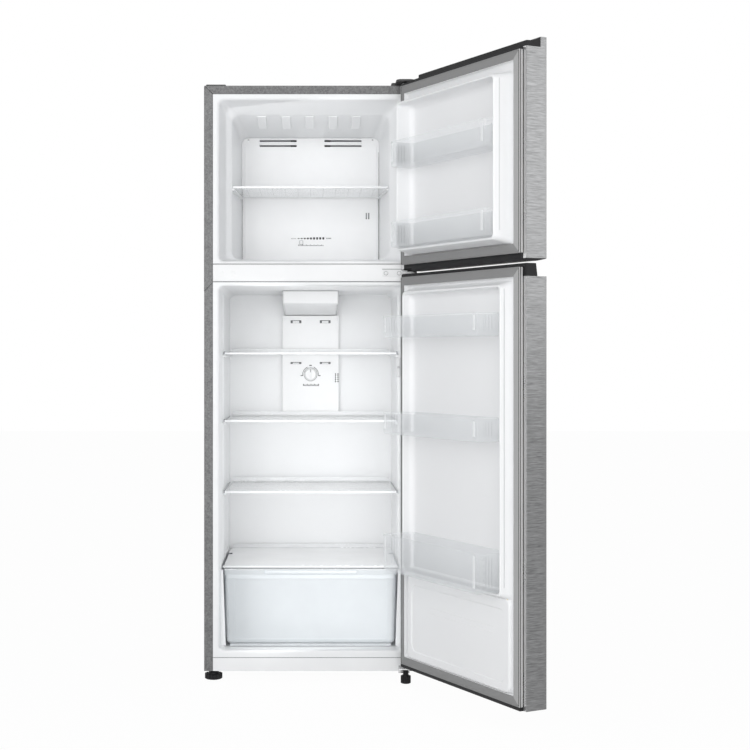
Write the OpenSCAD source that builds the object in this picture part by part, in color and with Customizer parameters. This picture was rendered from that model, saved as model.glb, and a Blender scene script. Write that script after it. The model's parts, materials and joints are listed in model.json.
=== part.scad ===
// Top freezer refrigerator: a steel cabinet with two moulded liners, two hinged doors and
// the fittings inside. Millimetres, +Z up, the doors face -Y and stand open.

/* [Cabinet] */
// Width over the side panels
cab_w = 550; // [500:5:640]
// Depth of the cabinet body, without the doors
cab_d = 490; // [470:5:600]
// Height of the cabinet body
cab_h = 1511; // [1440:1:1700]
// Height of the cabinet's lower edge above the floor
stand_h = 25.5; // [24:0.5:45]
// Thickness of the sheet steel
sheet_t = 0.8; // [0.6:0.1:1.2]
// Width of the front flange of each side panel
side_flange = 22.7; // [18:0.1:26]
// Height of the front flange of the top panel
top_flange = 21.9; // [16:0.1:26]
// Depth of the return lip inside the front flanges
flange_lip = 7; // [4:0.5:9]
// Height of the centre rail between the two compartments
rail_h = 45.9; // [40:0.1:60]
// Height of the plinth strip under the lower compartment
plinth_h = 34.9; // [28:0.1:45]

/* [Liners] */
// Wall of the moulded plastic liners
liner_t = 1.5; // [1:0.1:2.5]
// Rim of a liner beside its opening
rim_side = 14.8; // [12:0.1:20]
// Rim above the freezer opening
rim_top = 13.6; // [10:0.1:20]
// Rim below the freezer opening
rim_mid_up = 7.8; // [5:0.1:12]
// Rim above the lower opening
rim_mid_low = 10.9; // [8:0.1:16]
// Rim below the lower opening
rim_low = 18.1; // [12:0.1:24]
// Corner radius of both openings
opening_r = 13; // [8:0.5:20]
// Height of the freezer opening
freezer_h = 417.2; // [380:0.1:460]
// Foam and sheet behind both liners
back_foam = 56; // [50:1:60]
// Depth of the flared mouth of the freezer liner
throat_d = 85; // [70:1:100]
// How far the freezer walls come in over the flared mouth
throat_in = 30.1; // [20:0.1:36]
// How far the freezer ceiling comes down over the flared mouth
throat_drop = 26.6; // [18:0.1:32]
// How far the freezer walls come in behind the mouth, up to the back cover
freezer_draft = 14.4; // [8:0.1:18]
// How far the freezer ceiling comes down behind the mouth
ceiling_drop = 24.4; // [16:0.1:28]
// Room for the evaporator and the fan behind the freezer back cover
coil_room = 104; // [100:1:110]
// How far the lower liner walls come in just behind the opening
mouth_in = 4; // [3:0.1:6]
// Draft of the lower liner, per wall, from front to back
liner_draft = 1.5; // [1:0.1:3]
// Corner radius at the back of the liners
back_r = 20; // [14:1:26]

/* [Machine compartment] */
// Depth of the compressor compartment
machine_d = 165; // [160:1:180]
// Height of the compressor compartment
machine_h = 210; // [200:1:240]
// Foam between the compartment and the liner
machine_foam = 24; // [18:1:30]
// Thickness of the base pan
pan_t = 1.2; // [1:0.1:2]
// Radius of the compressor shell
compressor_r = 60; // [52:1:64]
// Height of the compressor shell
compressor_h = 140; // [120:1:150]

/* [Doors] */
// Angle at which both doors stand open
door_angle = 117; // [100:0.5:118]
// Width of both doors
door_w = 548; // [500:1:640]
// Thickness of a door from its inner rim to its front face
door_t = 55.6; // [48:0.1:64]
// Distance from the cabinet front to the inner rim of a closed door
rim_gap = 13.5; // [12:0.1:16]
// Gap between a closed gasket and the cabinet front
seal_gap = 1.5; // [1.2:0.1:2]
// Width of the gasket face
gasket_w = 22; // [16:0.5:24]
// Distance of the gasket from the side edges of the door
gasket_in = 12; // [11:0.1:16]
// Distance of the hinge axis inside the side edge of the door
hinge_in = 17.5; // [16:0.1:18]
// Distance of the hinge axis in front of the cabinet
hinge_out = 31; // [30:0.1:34]
// Radius of the hinge pins
pin_r = 4; // [3:0.1:5]
// Radial running clearance of the hinge pins
pin_gap = 0.05; // [0.02:0.01:0.1]
// Length of each hinge pin inside a door
pin_len = 13; // [10:0.5:16]
// Gap between the two doors
door_gap = 5.3; // [5:0.1:8]
// Height of the freezer door's inner edge above the cabinet top
top_rise = 9; // [7:0.1:13]
// Height of the freezer door's front edge above the cabinet top
front_rise = 19.7; // [16:0.1:26]
// Height of the fridge door's lower edge above the floor
door_foot = 45; // [42:0.1:60]
// Depth of the finger recess on top of the lower door
grip_d = 27; // [22:0.5:29]
// Height of the finger recess on top of the lower door
grip_h = 29.3; // [24:0.1:34]

/* [Door liners] */
// Gap between the gasket and the foot of a ridge
ridge_gap = 14; // [11:1:30]
// Width of a ridge at its crest
crest_w = 6; // [5:0.5:8]
// Width of a ridge at its foot
foot_w = 14; // [12:0.5:15]
// Height of the ridge on the freezer door
freezer_crest = 50; // [40:1:54]
// Height of the ridge on the lower door
fridge_crest = 32; // [26:1:33]
// Height of the recessed panel above the rim of the door
panel_rise = 3; // [2:0.5:5]
// Height of the low plateau under the ridges of the lower door
plateau_h = 11; // [6:0.5:12]

/* [Door bins] */
// Wall of the door bins
bin_t = 2.4; // [1.8:0.1:3]
// Clearance between a bin and the ridges
bin_gap = 0.5; // [0.4:0.1:1]
// How far the freezer bins stand out from the rim of the door
freezer_bin_d = 71; // [60:1:78]
// How far the lower door's bins stand out from the rim of the door
fridge_bin_d = 92; // [80:1:98]
// Height of the freezer bins
freezer_bin_h = 64; // [50:1:80]
// Height of the two small bins on the lower door
fridge_bin_h = 53; // [45:1:80]
// Height of the bottle bin on the lower door
bottle_bin_h = 91; // [70:1:110]
// Drop of the upper freezer bin's floor below the freezer opening top
freezer_bin_drop = 190; // [170:1:210]
// Height of the lower freezer bin's floor above the bottom of the freezer opening
freezer_bin_rise = 26.2; // [25:0.1:60]
// Drop of the upper fridge bin's floor below the lower opening top
fridge_bin_drop = 134.2; // [120:0.1:150]
// Distance between the two small bins on the lower door
fridge_bin_pitch = 240; // [200:1:260]
// Height of the bottle bin's floor above the bottom of the lower opening
bottle_bin_rise = 225.5; // [215:0.5:240]

/* [Shelves] */
// Thickness of the shelf glass
glass_t = 3.2; // [3:0.1:4]
// Height of the shelf trims
trim_h = 5.4; // [5:0.1:8]
// Height of the raised back edge of a shelf
upstand_h = 10; // [6:0.5:16]
// Distance of the shelf fronts behind the cabinet front
shelf_front = 90; // [86:1:110]
// Room between the shelf backs and the back of the lower liner
shelf_room = 23; // [22:1:44]
// Side clearance of the shelves
shelf_gap = 3.6; // [3.2:0.1:5]
// How far the moulded ledges stand out from the walls
ledge_w = 8; // [7:0.5:12]
// Height of a moulded ledge
ledge_h = 7; // [5:0.5:10]
// Drop of the top shelf below the top of the lower opening
shelf_drop = 171.2; // [165:0.1:180]
// Distance from the top shelf to the middle shelf
shelf_pitch_1 = 178.8; // [150:0.1:190]
// Distance from the middle shelf to the lower shelf
shelf_pitch_2 = 188.1; // [150:0.1:190]
// Drop of the freezer shelf below the top of the freezer opening
freezer_shelf_drop = 214; // [180:1:240]
// Side clearance of the freezer shelf
freezer_shelf_gap = 2.6; // [2:0.1:5]

/* [Crisper] */
// Height of the crisper drawer
drawer_h = 195; // [160:1:198]
// Height of the drawer floor above the bottom of the lower opening
drawer_rise = 7.5; // [6:0.5:12]
// Half of the drawer's width at its rim
drawer_top_half = 227; // [200:0.5:228]
// Half of the drawer's width at its floor
drawer_low_half = 220.4; // [190:0.1:224]
// Distance of the drawer front behind the cabinet front
drawer_front = 45; // [42:1:56]
// Room between the drawer and the step over the compressor
drawer_room = 11; // [7:1:50]
// Wall of the drawer
drawer_t = 2.5; // [2:0.1:4]
// Height of the crisper cover above the bottom of the lower opening
cover_rise = 209.5; // [206:0.5:212]
// Distance of the crisper cover's front behind the cabinet front
cover_front = 60; // [56:1:75]

/* [Air duct and lamp] */
// Half of the duct panel's width
duct_half = 81; // [70:1:95]
// Thickness of the duct panel, from the back of the lower liner
duct_t = 20; // [14:1:21]
// Length of the duct panel below the top of the lower opening
duct_len = 362; // [340:1:380]
// Half of the lamp housing's width
lamp_half = 76; // [60:1:80]
// Length of the lamp housing, from the back of the lower liner
lamp_len = 244; // [214:1:274]
// Radius of the thermostat knob
knob_r = 18.5; // [14:0.5:22]
// Drop of the thermostat knob below the top of the lower opening
knob_drop = 234.2; // [226:0.1:245]

/* [Hidden] */
$fn = 48;
eps = 0.01;
seat = 0.3;
cut = 1;
corner_steps = 5;

// Cabinet levels, all measured up from the floor
cab_hw = cab_w / 2;
cab_z0 = stand_h;
cab_z1 = stand_h + cab_h;
open_hw = cab_hw - side_flange - rim_side;
frz_z1 = cab_z1 - top_flange - rim_top;
frz_z0 = frz_z1 - freezer_h;
rail_z1 = frz_z0 - rim_mid_up;
rail_z0 = rail_z1 - rail_h;
frg_z1 = rail_z0 - rim_mid_low;
plinth_z1 = cab_z0 + plinth_h;
frg_z0 = plinth_z1 + rim_low;
back_y = cab_d - sheet_t;
foam_front = flange_lip + 2;
flange_x = cab_hw - side_flange;
liner_d = cab_d - back_foam;
back_cover_d = liner_d - coil_room;

// Machine compartment and the step that it makes in the lower liner
machine_y = cab_d - machine_d;
machine_z1 = cab_z0 + machine_h;
step_y = machine_y - machine_foam;
cover_t = 5;
cover_seat = 6;
step_z = frg_z0 + cover_rise - cover_seat;

// Doors, in their closed place
door_hw = door_w / 2;
rim_y = -rim_gap;
face_y = rim_y - door_t;
hinge_x = door_hw - hinge_in;
hinge_y = -hinge_out;
bore_r = pin_r + pin_gap;
gasket_hw = door_hw - gasket_in;
pocket_half = gasket_hw - gasket_w - ridge_gap - foot_w;
cap_edge = 5.7;
foot_edge = 2.5;
skin_drop = 3.5;
grip_drop = 28;
frg_door_top = rail_z1 - grip_drop;
frz_door_z0 = frg_door_top + door_gap;
frz_skin_z0 = frz_door_z0 + cap_edge;
frg_skin_z0 = door_foot + foot_edge;
frg_skin_z1 = frg_door_top - grip_h;
frz_cap_z = cab_z1 - skin_drop;
frz_edge_z = cab_z1 + top_rise;
frz_top_z = cab_z1 + front_rise;
frz_seal = [rail_z1 - 5.1, cab_z1 - 5];
frg_seal = [door_foot + 4.5, rail_z0 + 9.4];
strip_d = 17;
notch_w = 84;
notch_x = door_hw - notch_w;
low_cap_z = cab_z1 + 1.5;
frz_pocket = [frz_z0 + 24.5, frz_z1 - 31];
boss_w = 6;
boss_h = 5.5;
pocket_r = 1;
ridge_r = 18;
crest_r = 14;
cap_block = 15;
cap_plate = 2;

// Hinge plates
plate_t = 3;
arm_z = frg_door_top + (door_gap - plate_t) / 2;
mid_plate = [rail_z0 + 12.4, rail_z1 - 14];
low_plate_z = door_foot - 8;
bush_r = 8;
screw_r = 2.4;
screw_head_r = 4.2;
screw_head_h = 2.2;
fit_gap = 0.2;
screw_hole = screw_r + fit_gap;
screw_len = 7;
knuckle_r = 10;
hinge_span = 71;
top_screw_y = 42;
top_screws = [[hinge_x - 30, top_screw_y], [hinge_x - 4, top_screw_y]];
mid_screws = [hinge_x - 62, hinge_x - 28];
low_screws = [hinge_x - 22, hinge_x - 8];
low_screw_z = cab_z0 + 2.7;

// Where the middle of the whole outline lies when the doors stand open
swing = [[-2 * door_hw + hinge_in, rim_y - hinge_y], [-2 * door_hw + hinge_in, face_y - hinge_y]];
reach_x = hinge_x + swing[1][0] * cos(door_angle) - swing[1][1] * sin(door_angle);
reach_y = hinge_y + swing[0][0] * sin(door_angle) + swing[0][1] * cos(door_angle);
mid_x = (reach_x - cab_hw) / 2;
mid_y = (reach_y + cab_d) / 2;

// Shelf levels
shelf_back = liner_d - shelf_room;
shelf_z = [for (drop = [0, shelf_pitch_1, shelf_pitch_1 + shelf_pitch_2]) frg_z1 - shelf_drop - drop];
frz_shelf_z = frz_z1 - freezer_shelf_drop;
freezer_shelf_h = 6;
freezer_shelf_t = 4;
freezer_shelf_low = frz_shelf_z - freezer_shelf_h;
drawer_back = step_y - drawer_room;
cover_z = frg_z0 + cover_rise;

// Liner sections: depth, half width, lower edge, upper edge, corner radius
function frz_half(y) = y < throat_d
    ? open_hw - throat_in * y / throat_d
    : open_hw - throat_in - freezer_draft * (y - throat_d) / (back_cover_d - throat_d);
function frz_top(y) = y < throat_d
    ? frz_z1 - throat_drop * y / throat_d
    : frz_z1 - throat_drop - ceiling_drop * (y - throat_d) / (back_cover_d - throat_d);
frz_floor_rise = 9;
function frz_low(y) = frz_z0 + frz_floor_rise * min(y / throat_d, 1);
function frz_section(y, r) = [y, frz_half(y), frz_low(y), frz_top(y), r];
frz_sections = [frz_section(0, opening_r), frz_section(throat_d, back_r),
    frz_section(back_cover_d, back_r), frz_section(liner_d, back_r)];
mouth_d = 24;
function frg_half(y) = y < mouth_d
    ? open_hw - mouth_in * y / mouth_d
    : open_hw - mouth_in - liner_draft * (y - mouth_d) / (liner_d - mouth_d);
frg_fall = 7;
function frg_top(y) = frg_z1 - frg_fall * y / liner_d;
function frg_low(y) = frg_z0 + liner_draft * y / liner_d;
function frg_section(y, r) = [y, frg_half(y), frg_low(y), frg_top(y), r];
frg_sections = [frg_section(0, opening_r), frg_section(mouth_d, opening_r), frg_section(liner_d, back_r)];
function grown(sections, e) = [for (s = sections) [s[0], s[1] + e, s[2] - e, s[3] + e, s[4] + e]];

// Plug caps on the centre rail
plug_x = [-cab_hw + 46, -cab_hw + 75];
plug_z = (rail_z0 + rail_z1) / 2;
plug_r = 3;
plug_rim = 2;
plug_t = 1.4;

// Openings in the freezer back cover: wide slots above, two slits, and the control's slot
back_cover_t = 2;
air_slot_x = [39, 143];
air_slot_h = 5.5;
air_slot_drop = [10.7, 24.7];
slit_x = [155, 162];
slit_w = 3;
slit_z = [frz_z0 + 138, frz_z0 + 156];
slider_slot_x = [-34, 34];
slider_slot_z = [frz_z0 + 69, frz_z0 + 75];
slider_x = -26;
slider_hw = 4;
slider_t = 3;

// Half width of the crisper cover, and of the shelves in front and behind
cover_hw = frg_half(step_y) - 2;
shelf_hw = frg_half(shelf_front) - shelf_gap;
rear_hw = frg_half(shelf_front) - ledge_w - 1;
trim_d = [16, 12];
upstand_t = 3;
groove_front = 10;
groove_back = 6;

// Duct between the compartments
port_half = 45;
port_y = [liner_d - 42, liner_d - 24];

// Lamp housing side view: depth and height
lamp_front = liner_d - lamp_len;
lamp_back_z = frg_z1 - 66.2;
lamp_low_z = frg_z1 - 39.6;
lamp_t = 2;
lamp_nose = [8, 6];
lamp_heel = 12;
duct_front = liner_d - duct_t;
duct_top = lamp_back_z;
duct_low = frg_z1 - duct_len;
duct_wall = 2;
vent_x = [-57.3, 26.4];
vent_w = 30.9;
vent_drop = [21.5, 138.4];
vent_h = [8.5, 5.8];
knob_z = frg_z1 - knob_drop;
knob_t = 13;
knob_shaft_r = 4;

// Door bins: floor level of each
frz_bin_z = [frz_z1 - freezer_bin_drop, frz_z0 + freezer_bin_rise];
bin_r = 22;
frg_bin_z = [frg_z1 - fridge_bin_drop, frg_z1 - fridge_bin_drop - fridge_bin_pitch,
    frg_z0 + bottle_bin_rise];
bin_hw = pocket_half - bin_gap;
frg_pocket = [frg_bin_z[2] - 3, frg_z1 - 24];
plateau_z = [frg_seal[0] + gasket_w + 3, frg_pocket[0] - foot_w + 4];

// Door switch on the right wall
switch_z = [frg_z1 - 236, frg_z1 - 184];
switch_y = [30, 62];
switch_rise = 9;
plunger_r = 3;
switch_wall = frg_half(switch_y[1]) - seat;
plunger_x = switch_wall - switch_rise / 2;
plunger_z = (switch_z[0] + switch_z[1]) / 2;

// Evaporator, fan and heater behind the freezer back cover
fan_drop = 62;
fan_z = frz_top(back_cover_d) - fan_drop;
fan_r = 52;
hub_r = 13;
coil_d = 50;
coil_rise = 60;
coil_h = 170;
coil_y = [liner_d - coil_d, liner_d - seat];
coil_z = [frz_z0 + coil_rise, frz_z0 + coil_rise + coil_h];
coil_half = 165;
fin_count = 22;
fin_t = 0.8;
coil_tube_r = 4;
coil_pitch = [25, 35];
fan_y = [back_cover_d + 12, back_cover_d + 28];
shaft_r = 2.5;
motor_r = 26;
motor_len = 28;

// Compressor, standing on four rubber feet, and the cord gland
compressor_x = 110;
compressor_y = machine_y + (machine_d - sheet_t) / 2;
mount_h = 12;
compressor_z = cab_z0 + pan_t + mount_h;
compressor_plate = [170, 90, 4];
mount_r = 9;
mount_x = 75;
mount_y = 36;
terminal_box = [24, 36, 44];
tray_x = [-cab_hw + 45, -40];
tray_y = [machine_y + 12, machine_y + machine_d - 53];
tray_h = 40;
tray_t = 2;
gland_x = -cab_hw + 50;
gland_z = cab_z0 + 60;
gland_r = 8;
cord_r = 3.5;

// Feet and rollers
foot_r = 23;
foot_h = 14;
foot_neck_r = 12;
foot_pin_r = 4;
foot_pin_len = 8;
foot_x = -(cab_hw - foot_r);
foot_y = foot_r + flange_lip;
right_foot_r = 13;
right_foot_h = 20;
right_neck_r = 7;
right_foot_x = hinge_x - 12.5;
right_foot_y = hinge_y + 6;
roller_r = 12;
roller_w = 16;
roller_x = cab_hw - 50;
roller_y = cab_d - 40;
axle_r = 3;
cheek_t = 2;
cheek_hw = 10;
cheek_drop = 7;

// Condenser loop inside the left wall
loop_y = [60, cab_d - 40];
loop_z = [machine_z1 + 60, cab_z1 - 60];
loop_runs = 6;
tube_r = 2.4;
bend_r = tube_r + 0.4;
loop_x = -cab_hw + sheet_t + bend_r + 4;
drop_z = machine_z1 - 60;
drier_r = 8;
drier_x = [-150, -60];

// ---- Shared shapes ----

module in_cabinet() translate([-mid_x, -mid_y, 0]) children();

module on_door() in_cabinet() translate([hinge_x, hinge_y, 0]) rotate([0, 0, door_angle])
    translate([-hinge_x, -hinge_y, 0]) children();

module box(x, y, z) translate([x[0], y[0], z[0]]) cube([x[1] - x[0], y[1] - y[0], z[1] - z[0]]);

module both_sides() {
    children();
    mirror([1, 0, 0]) children();
}

module rod_x(x, y, z, r) translate([x[0], y, z]) rotate([0, 90, 0]) cylinder(r = r, h = x[1] - x[0]);

module rod_y(x, y, z, r) translate([x, y[0], z]) rotate([-90, 0, 0]) cylinder(r = r, h = y[1] - y[0]);

module rod_z(x, y, z, r) translate([x, y, z[0]]) cylinder(r = r, h = z[1] - z[0]);

// A side view of [depth, height] points, drawn out across X
module across(x, points) translate([x[0], 0, 0]) rotate([90, 0, 90])
    linear_extrude(x[1] - x[0]) polygon(points);

// A plan of [x, y] points, drawn up between two heights
module upright(z, points) translate([0, 0, z[0]]) linear_extrude(z[1] - z[0]) polygon(points);

// The corner points of a rounded rectangle in the XZ plane
function ring(s) = [for (c = [[1, 1, 0], [-1, 1, 90], [-1, -1, 180], [1, -1, 270]], k = [0:corner_steps])
    let (a = c[2] + 90 * k / corner_steps, z = c[1] > 0 ? s[3] - s[4] : s[2] + s[4])
    [c[0] * (s[1] - s[4]) + s[4] * cos(a), s[0], z + s[4] * sin(a)]];

// A closed skin through rounded rectangles, one behind the other
module loft(sections) {
    n = 4 * (corner_steps + 1);
    last = (len(sections) - 1) * n;
    polyhedron(
        points = [for (s = sections) each ring(s)],
        faces = concat(
            [[for (k = [n - 1:-1:0]) k]],
            [[for (k = [0:n - 1]) last + k]],
            [for (i = [0:len(sections) - 2], k = [0:n - 1], half = [0, 1])
                let (a = i * n + k, b = i * n + (k + 1) % n)
                half == 0 ? [a, b, a + n] : [b, b + n, a + n]]));
}

// A rectangular frame in the XZ plane
module frame_xz(half, z, width, y) difference() {
    box([-half, half], y, z);
    box([-half + width, half - width], [y[0] - 1, y[1] + 1], [z[0] + width, z[1] - width]);
}

// ---- Cabinet ----

module hinge_holes() {
    past_plates = 20;
    for (s = top_screws) rod_z(s[0], s[1], [cab_z1 - screw_len - cut, cab_z1 + past_plates], screw_hole);
    for (x = mid_screws)
        rod_y(x, [-past_plates, screw_len + cut], (mid_plate[0] + mid_plate[1]) / 2, screw_hole);
    for (x = low_screws) rod_y(x, [-past_plates, screw_len + cut], low_screw_z, screw_hole);
}

module cabinet_shell() color("dimgray") in_cabinet() difference() {
    union() {
        both_sides() {
            box([cab_hw - sheet_t, cab_hw], [0, back_y], [cab_z0, cab_z1]);
            box([flange_x, cab_hw], [0, sheet_t], [cab_z0, cab_z1]);
            box([flange_x, flange_x + sheet_t], [0, flange_lip], [cab_z0, cab_z1 - sheet_t]);
        }
        box([-cab_hw, cab_hw], [0, back_y], [cab_z1 - sheet_t, cab_z1]);
        box([-cab_hw, cab_hw], [0, sheet_t], [cab_z1 - top_flange, cab_z1]);
        box([-flange_x, flange_x], [0, flange_lip], [cab_z1 - top_flange, cab_z1 - top_flange + sheet_t]);
    }
    hinge_holes();
}

module back_panel() color("gray") in_cabinet() {
    box([-cab_hw, cab_hw], [back_y, cab_d], [machine_z1, cab_z1]);
}

module base_pan() color("darkgray") in_cabinet() {
    inner = cab_hw - sheet_t;
    difference() {
        union() {
            box([-inner, inner], [flange_lip, back_y], [cab_z0, cab_z0 + pan_t]);
            box([-inner, inner], [machine_y - pan_t, machine_y], [cab_z0, machine_z1]);
            box([-inner, inner], [machine_y - pan_t, back_y], [machine_z1 - pan_t, machine_z1]);
            for (x = [-roller_x, roller_x], side = [-1, 1])
                translate([x + side * (roller_w / 2 + seat + cheek_t / 2) - cheek_t / 2, 0, 0])
                    box([0, cheek_t], [roller_y - cheek_hw, roller_y + cheek_hw],
                        [roller_r - cheek_drop, cab_z0 + pan_t]);
            for (x = [-roller_x, roller_x])
                rod_x([x - roller_w / 2 - cheek_t, x + roller_w / 2 + cheek_t], roller_y, roller_r, axle_r);
        }
        hinge_holes();
        rod_z(foot_x, foot_y, [cab_z0 - cut, cab_z0 + pan_t + cut], foot_pin_r + fit_gap);
        rod_z(loop_x, loop_y[1], [machine_z1 - pan_t - cut, machine_z1 + cut], tube_r + seat);
    }
}

// The run of tube in the left wall, grown by e: straight runs joined by thicker bends
module condenser_loop(e) {
    pitch = (loop_y[1] - loop_y[0]) / (loop_runs - 1);
    for (i = [0:loop_runs - 1])
        rod_z(loop_x, loop_y[0] + i * pitch, [loop_z[0], loop_z[1]], tube_r + e);
    for (i = [0:loop_runs - 2])
        rod_y(loop_x, [loop_y[0] + i * pitch - bend_r - e, loop_y[0] + (i + 1) * pitch + bend_r + e],
            loop_z[(i + 1) % 2], bend_r + e);
    rod_z(loop_x, loop_y[1], [drop_z, loop_z[0] + cut], tube_r + e);
}

module cabinet_foam() color("khaki") in_cabinet() difference() {
    union() {
        box([-cab_hw + sheet_t, cab_hw - sheet_t], [foam_front, machine_y - pan_t],
            [cab_z0 + pan_t, cab_z1 - sheet_t]);
        box([-cab_hw + sheet_t, cab_hw - sheet_t], [machine_y - pan_t - eps, back_y],
            [machine_z1, cab_z1 - sheet_t]);
    }
    freezer_void(liner_t);
    fridge_void(liner_t);
    box([-port_half, port_half], port_y, [frg_z1 - 60, frz_z0 + 60]);
    condenser_loop(seat);
    rod_z(foot_x, foot_y, [cab_z0, cab_z0 + 30], foot_pin_r + fit_gap);
    hinge_holes();
}

// The inside of the lower liner with the step over the compressor: open in front, or grown by e
module fridge_void(e) difference() {
    loft(e > 0 ? concat(grown(frg_sections, e), grown([frg_section(liner_d + e, back_r)], e))
        : concat([[-cut, open_hw, frg_z0, frg_z1, opening_r]], frg_sections));
    box([-cab_hw, cab_hw], [step_y + e, cab_d], [0, step_z - e]);
}

// The same for the freezer
module freezer_void(e) loft(e > 0
    ? concat(grown(frz_sections, e), grown([frz_section(liner_d + e, back_r)], e))
    : concat([[-cut, open_hw, frz_z0, frz_z1, opening_r]], frz_sections));

// A ledge on a side wall: its inner and outer edges, each at both of its ends
module wall_ledge(inner, outer, y, z)
    upright(z, [[inner[0], y[0]], [outer[0], y[0]], [outer[1], y[1]], [inner[1], y[1]]]);

module rim(z, hole) difference() {
    box([-flange_x, flange_x], [0, liner_t], z);
    loft([for (y = [-cut, liner_t + cut]) [y, open_hw, hole[0], hole[1], opening_r]]);
}

module freezer_liner() color("white") in_cabinet() {
    y = [throat_d + 8, back_cover_d - 8];
    difference() {
        union() {
            rim([rail_z1, cab_z1 - top_flange], [frz_z0, frz_z1]);
            freezer_void(liner_t);
        }
        freezer_void(0);
        box([-port_half, port_half], port_y, [frz_z0 - 20, frz_z0 + 30]);
    }
    both_sides() wall_ledge([for (d = y) frz_half(d) - ledge_w], [for (d = y) frz_half(d) + liner_t / 2], y,
        [freezer_shelf_low - ledge_h, freezer_shelf_low - seat]);
}

module fridge_liner() color("white") in_cabinet() {
    shelf_y = [shelf_front + 19, shelf_back - 1];
    shelf_ledge = frg_half(shelf_front) - ledge_w;
    cover_y = [cover_front + 14, step_y];
    cover_ledge = drawer_top_half + 1.5;
    runner_x = 140;
    runner_w = 6;
    difference() {
        union() {
            rim([plinth_z1, rail_z0], [frg_z0, frg_z1]);
            fridge_void(liner_t);
        }
        fridge_void(0);
        box([-port_half, port_half], port_y, [frg_z1 - 30, frg_z1 + 20]);
    }
    both_sides() {
        for (z = shelf_z)
            wall_ledge([shelf_ledge, shelf_ledge], [for (d = shelf_y) frg_half(d) + liner_t / 2], shelf_y,
                [z - trim_h - ledge_h, z - trim_h + 1 - seat]);
        wall_ledge([cover_ledge, cover_ledge], [for (d = cover_y) frg_half(d) + liner_t / 2], cover_y,
            [cover_z - cover_seat - ledge_h, cover_z - cover_seat]);
        box([runner_x, runner_x + runner_w], [drawer_front + 5, drawer_back - 5],
            [frg_z0, frg_z0 + drawer_rise - seat]);
    }
}

module centre_rail() color("white") in_cabinet() difference() {
    end_block = 6;
    union() {
        box([-flange_x, flange_x], [0, sheet_t], [rail_z0, rail_z1]);
        for (z = [rail_z0, rail_z1 - sheet_t])
            box([-flange_x, flange_x], [liner_t, flange_lip], [z, z + sheet_t]);
        both_sides() box([flange_x - end_block, flange_x], [0, flange_lip], [rail_z0, rail_z1]);
        for (z = [rail_z0, rail_z1 - sheet_t])
            box([-flange_x, flange_x], [0, liner_t + cut], [z, z + sheet_t]);
    }
    hinge_holes();
    for (x = plug_x) rod_y(x, [-cut, flange_lip + cut], plug_z, plug_r + fit_gap);
}

module rail_plugs() color("white") in_cabinet() for (x = plug_x) {
    rod_y(x, [-plug_t, 0], plug_z, plug_r + plug_rim);
    rod_y(x, [0, flange_lip], plug_z, plug_r);
}

module plinth_strip() color("white") in_cabinet() difference() {
    union() {
        box([-flange_x, flange_x], [0, sheet_t], [cab_z0, plinth_z1]);
        for (z = [cab_z0, plinth_z1 - sheet_t])
            box([-flange_x, flange_x], [0, flange_lip], [z, z + sheet_t]);
    }
    hinge_holes();
}

// ---- Cooling ----

module freezer_back_cover() color("white") in_cabinet() {
    half = frz_half(back_cover_d) - 0.6;
    z = [frz_low(back_cover_d) + seat, frz_top(back_cover_d) - 0.8];
    through = [back_cover_d - cut, back_cover_d + back_cover_t + cut];
    hook = [3, 10];
    difference() {
        union() {
            loft([for (y = [back_cover_d, back_cover_d + back_cover_t]) [y, half, z[0], z[1], back_r]]);
            both_sides() box([half - 1 - hook[0], half - 1], [back_cover_d, back_cover_d + hook[1]],
                [z[0] + back_r, z[1] - back_r]);
        }
        both_sides() for (drop = air_slot_drop)
            box(air_slot_x, through, [z[1] - drop, z[1] - drop + air_slot_h]);
        for (x = slit_x) box([x, x + slit_w], through, slit_z);
        box(slider_slot_x, through, slider_slot_z);
    }
}

module freezer_slider() color("white") in_cabinet() {
    lap = 2;
    neck_hw = 2;
    knob_d = 4;
    grip_z = [slider_slot_z[0] - lap, slider_slot_z[1] + lap];
    behind = back_cover_d + back_cover_t + seat;
    box([slider_x - slider_hw, slider_x + slider_hw], [back_cover_d - knob_d, back_cover_d - seat], grip_z);
    box([slider_x - neck_hw, slider_x + neck_hw], [back_cover_d - 1, behind],
        [slider_slot_z[0] + seat, slider_slot_z[1] - seat]);
    box([slider_x - slider_hw, slider_x + slider_hw], [behind, behind + slider_t], grip_z);
}

module evaporator() color("silver") in_cabinet() {
    tube_end = coil_half + 8;
    first = [coil_y[0] + 12, coil_z[0] + 15];
    for (i = [0:fin_count - 1]) {
        x = -coil_half + i * 2 * coil_half / (fin_count - 1);
        box([x - fin_t / 2, x + fin_t / 2], coil_y, coil_z);
    }
    for (row = [0, 1], level = [0:4])
        rod_x([-tube_end, tube_end], first[0] + row * coil_pitch[0], first[1] + level * coil_pitch[1],
            coil_tube_r);
}

module fan_motor() color("dimgray") in_cabinet() {
    front = fan_y[1] + 4;
    back = front + motor_len;
    strap = [fan_z - 8, fan_z + 8];
    strap_half = 70;
    strap_t = 3;
    rod_y(0, [fan_y[0] + 2, front + 4], fan_z, shaft_r);
    rod_y(0, [front, back], fan_z, motor_r);
    box([-strap_half, strap_half], [back, back + strap_t], strap);
    both_sides() box([strap_half - 10, strap_half], [back + strap_t, liner_d - seat], strap);
}

module fan_blade() color("white") in_cabinet() difference() {
    blade_pitch = 32;
    blade_t = 1.6;
    blade_hw = 12;
    union() {
        rod_y(0, fan_y, fan_z, hub_r);
        translate([0, (fan_y[0] + fan_y[1]) / 2, fan_z]) for (turn = [0:72:288])
            rotate([0, turn, 0]) rotate([blade_pitch, 0, 0])
                box([0, fan_r], [-blade_t / 2, blade_t / 2], [-blade_hw, blade_hw]);
    }
    rod_y(0, [fan_y[0] - cut, fan_y[1] + cut], fan_z, shaft_r + pin_gap);
}

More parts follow.
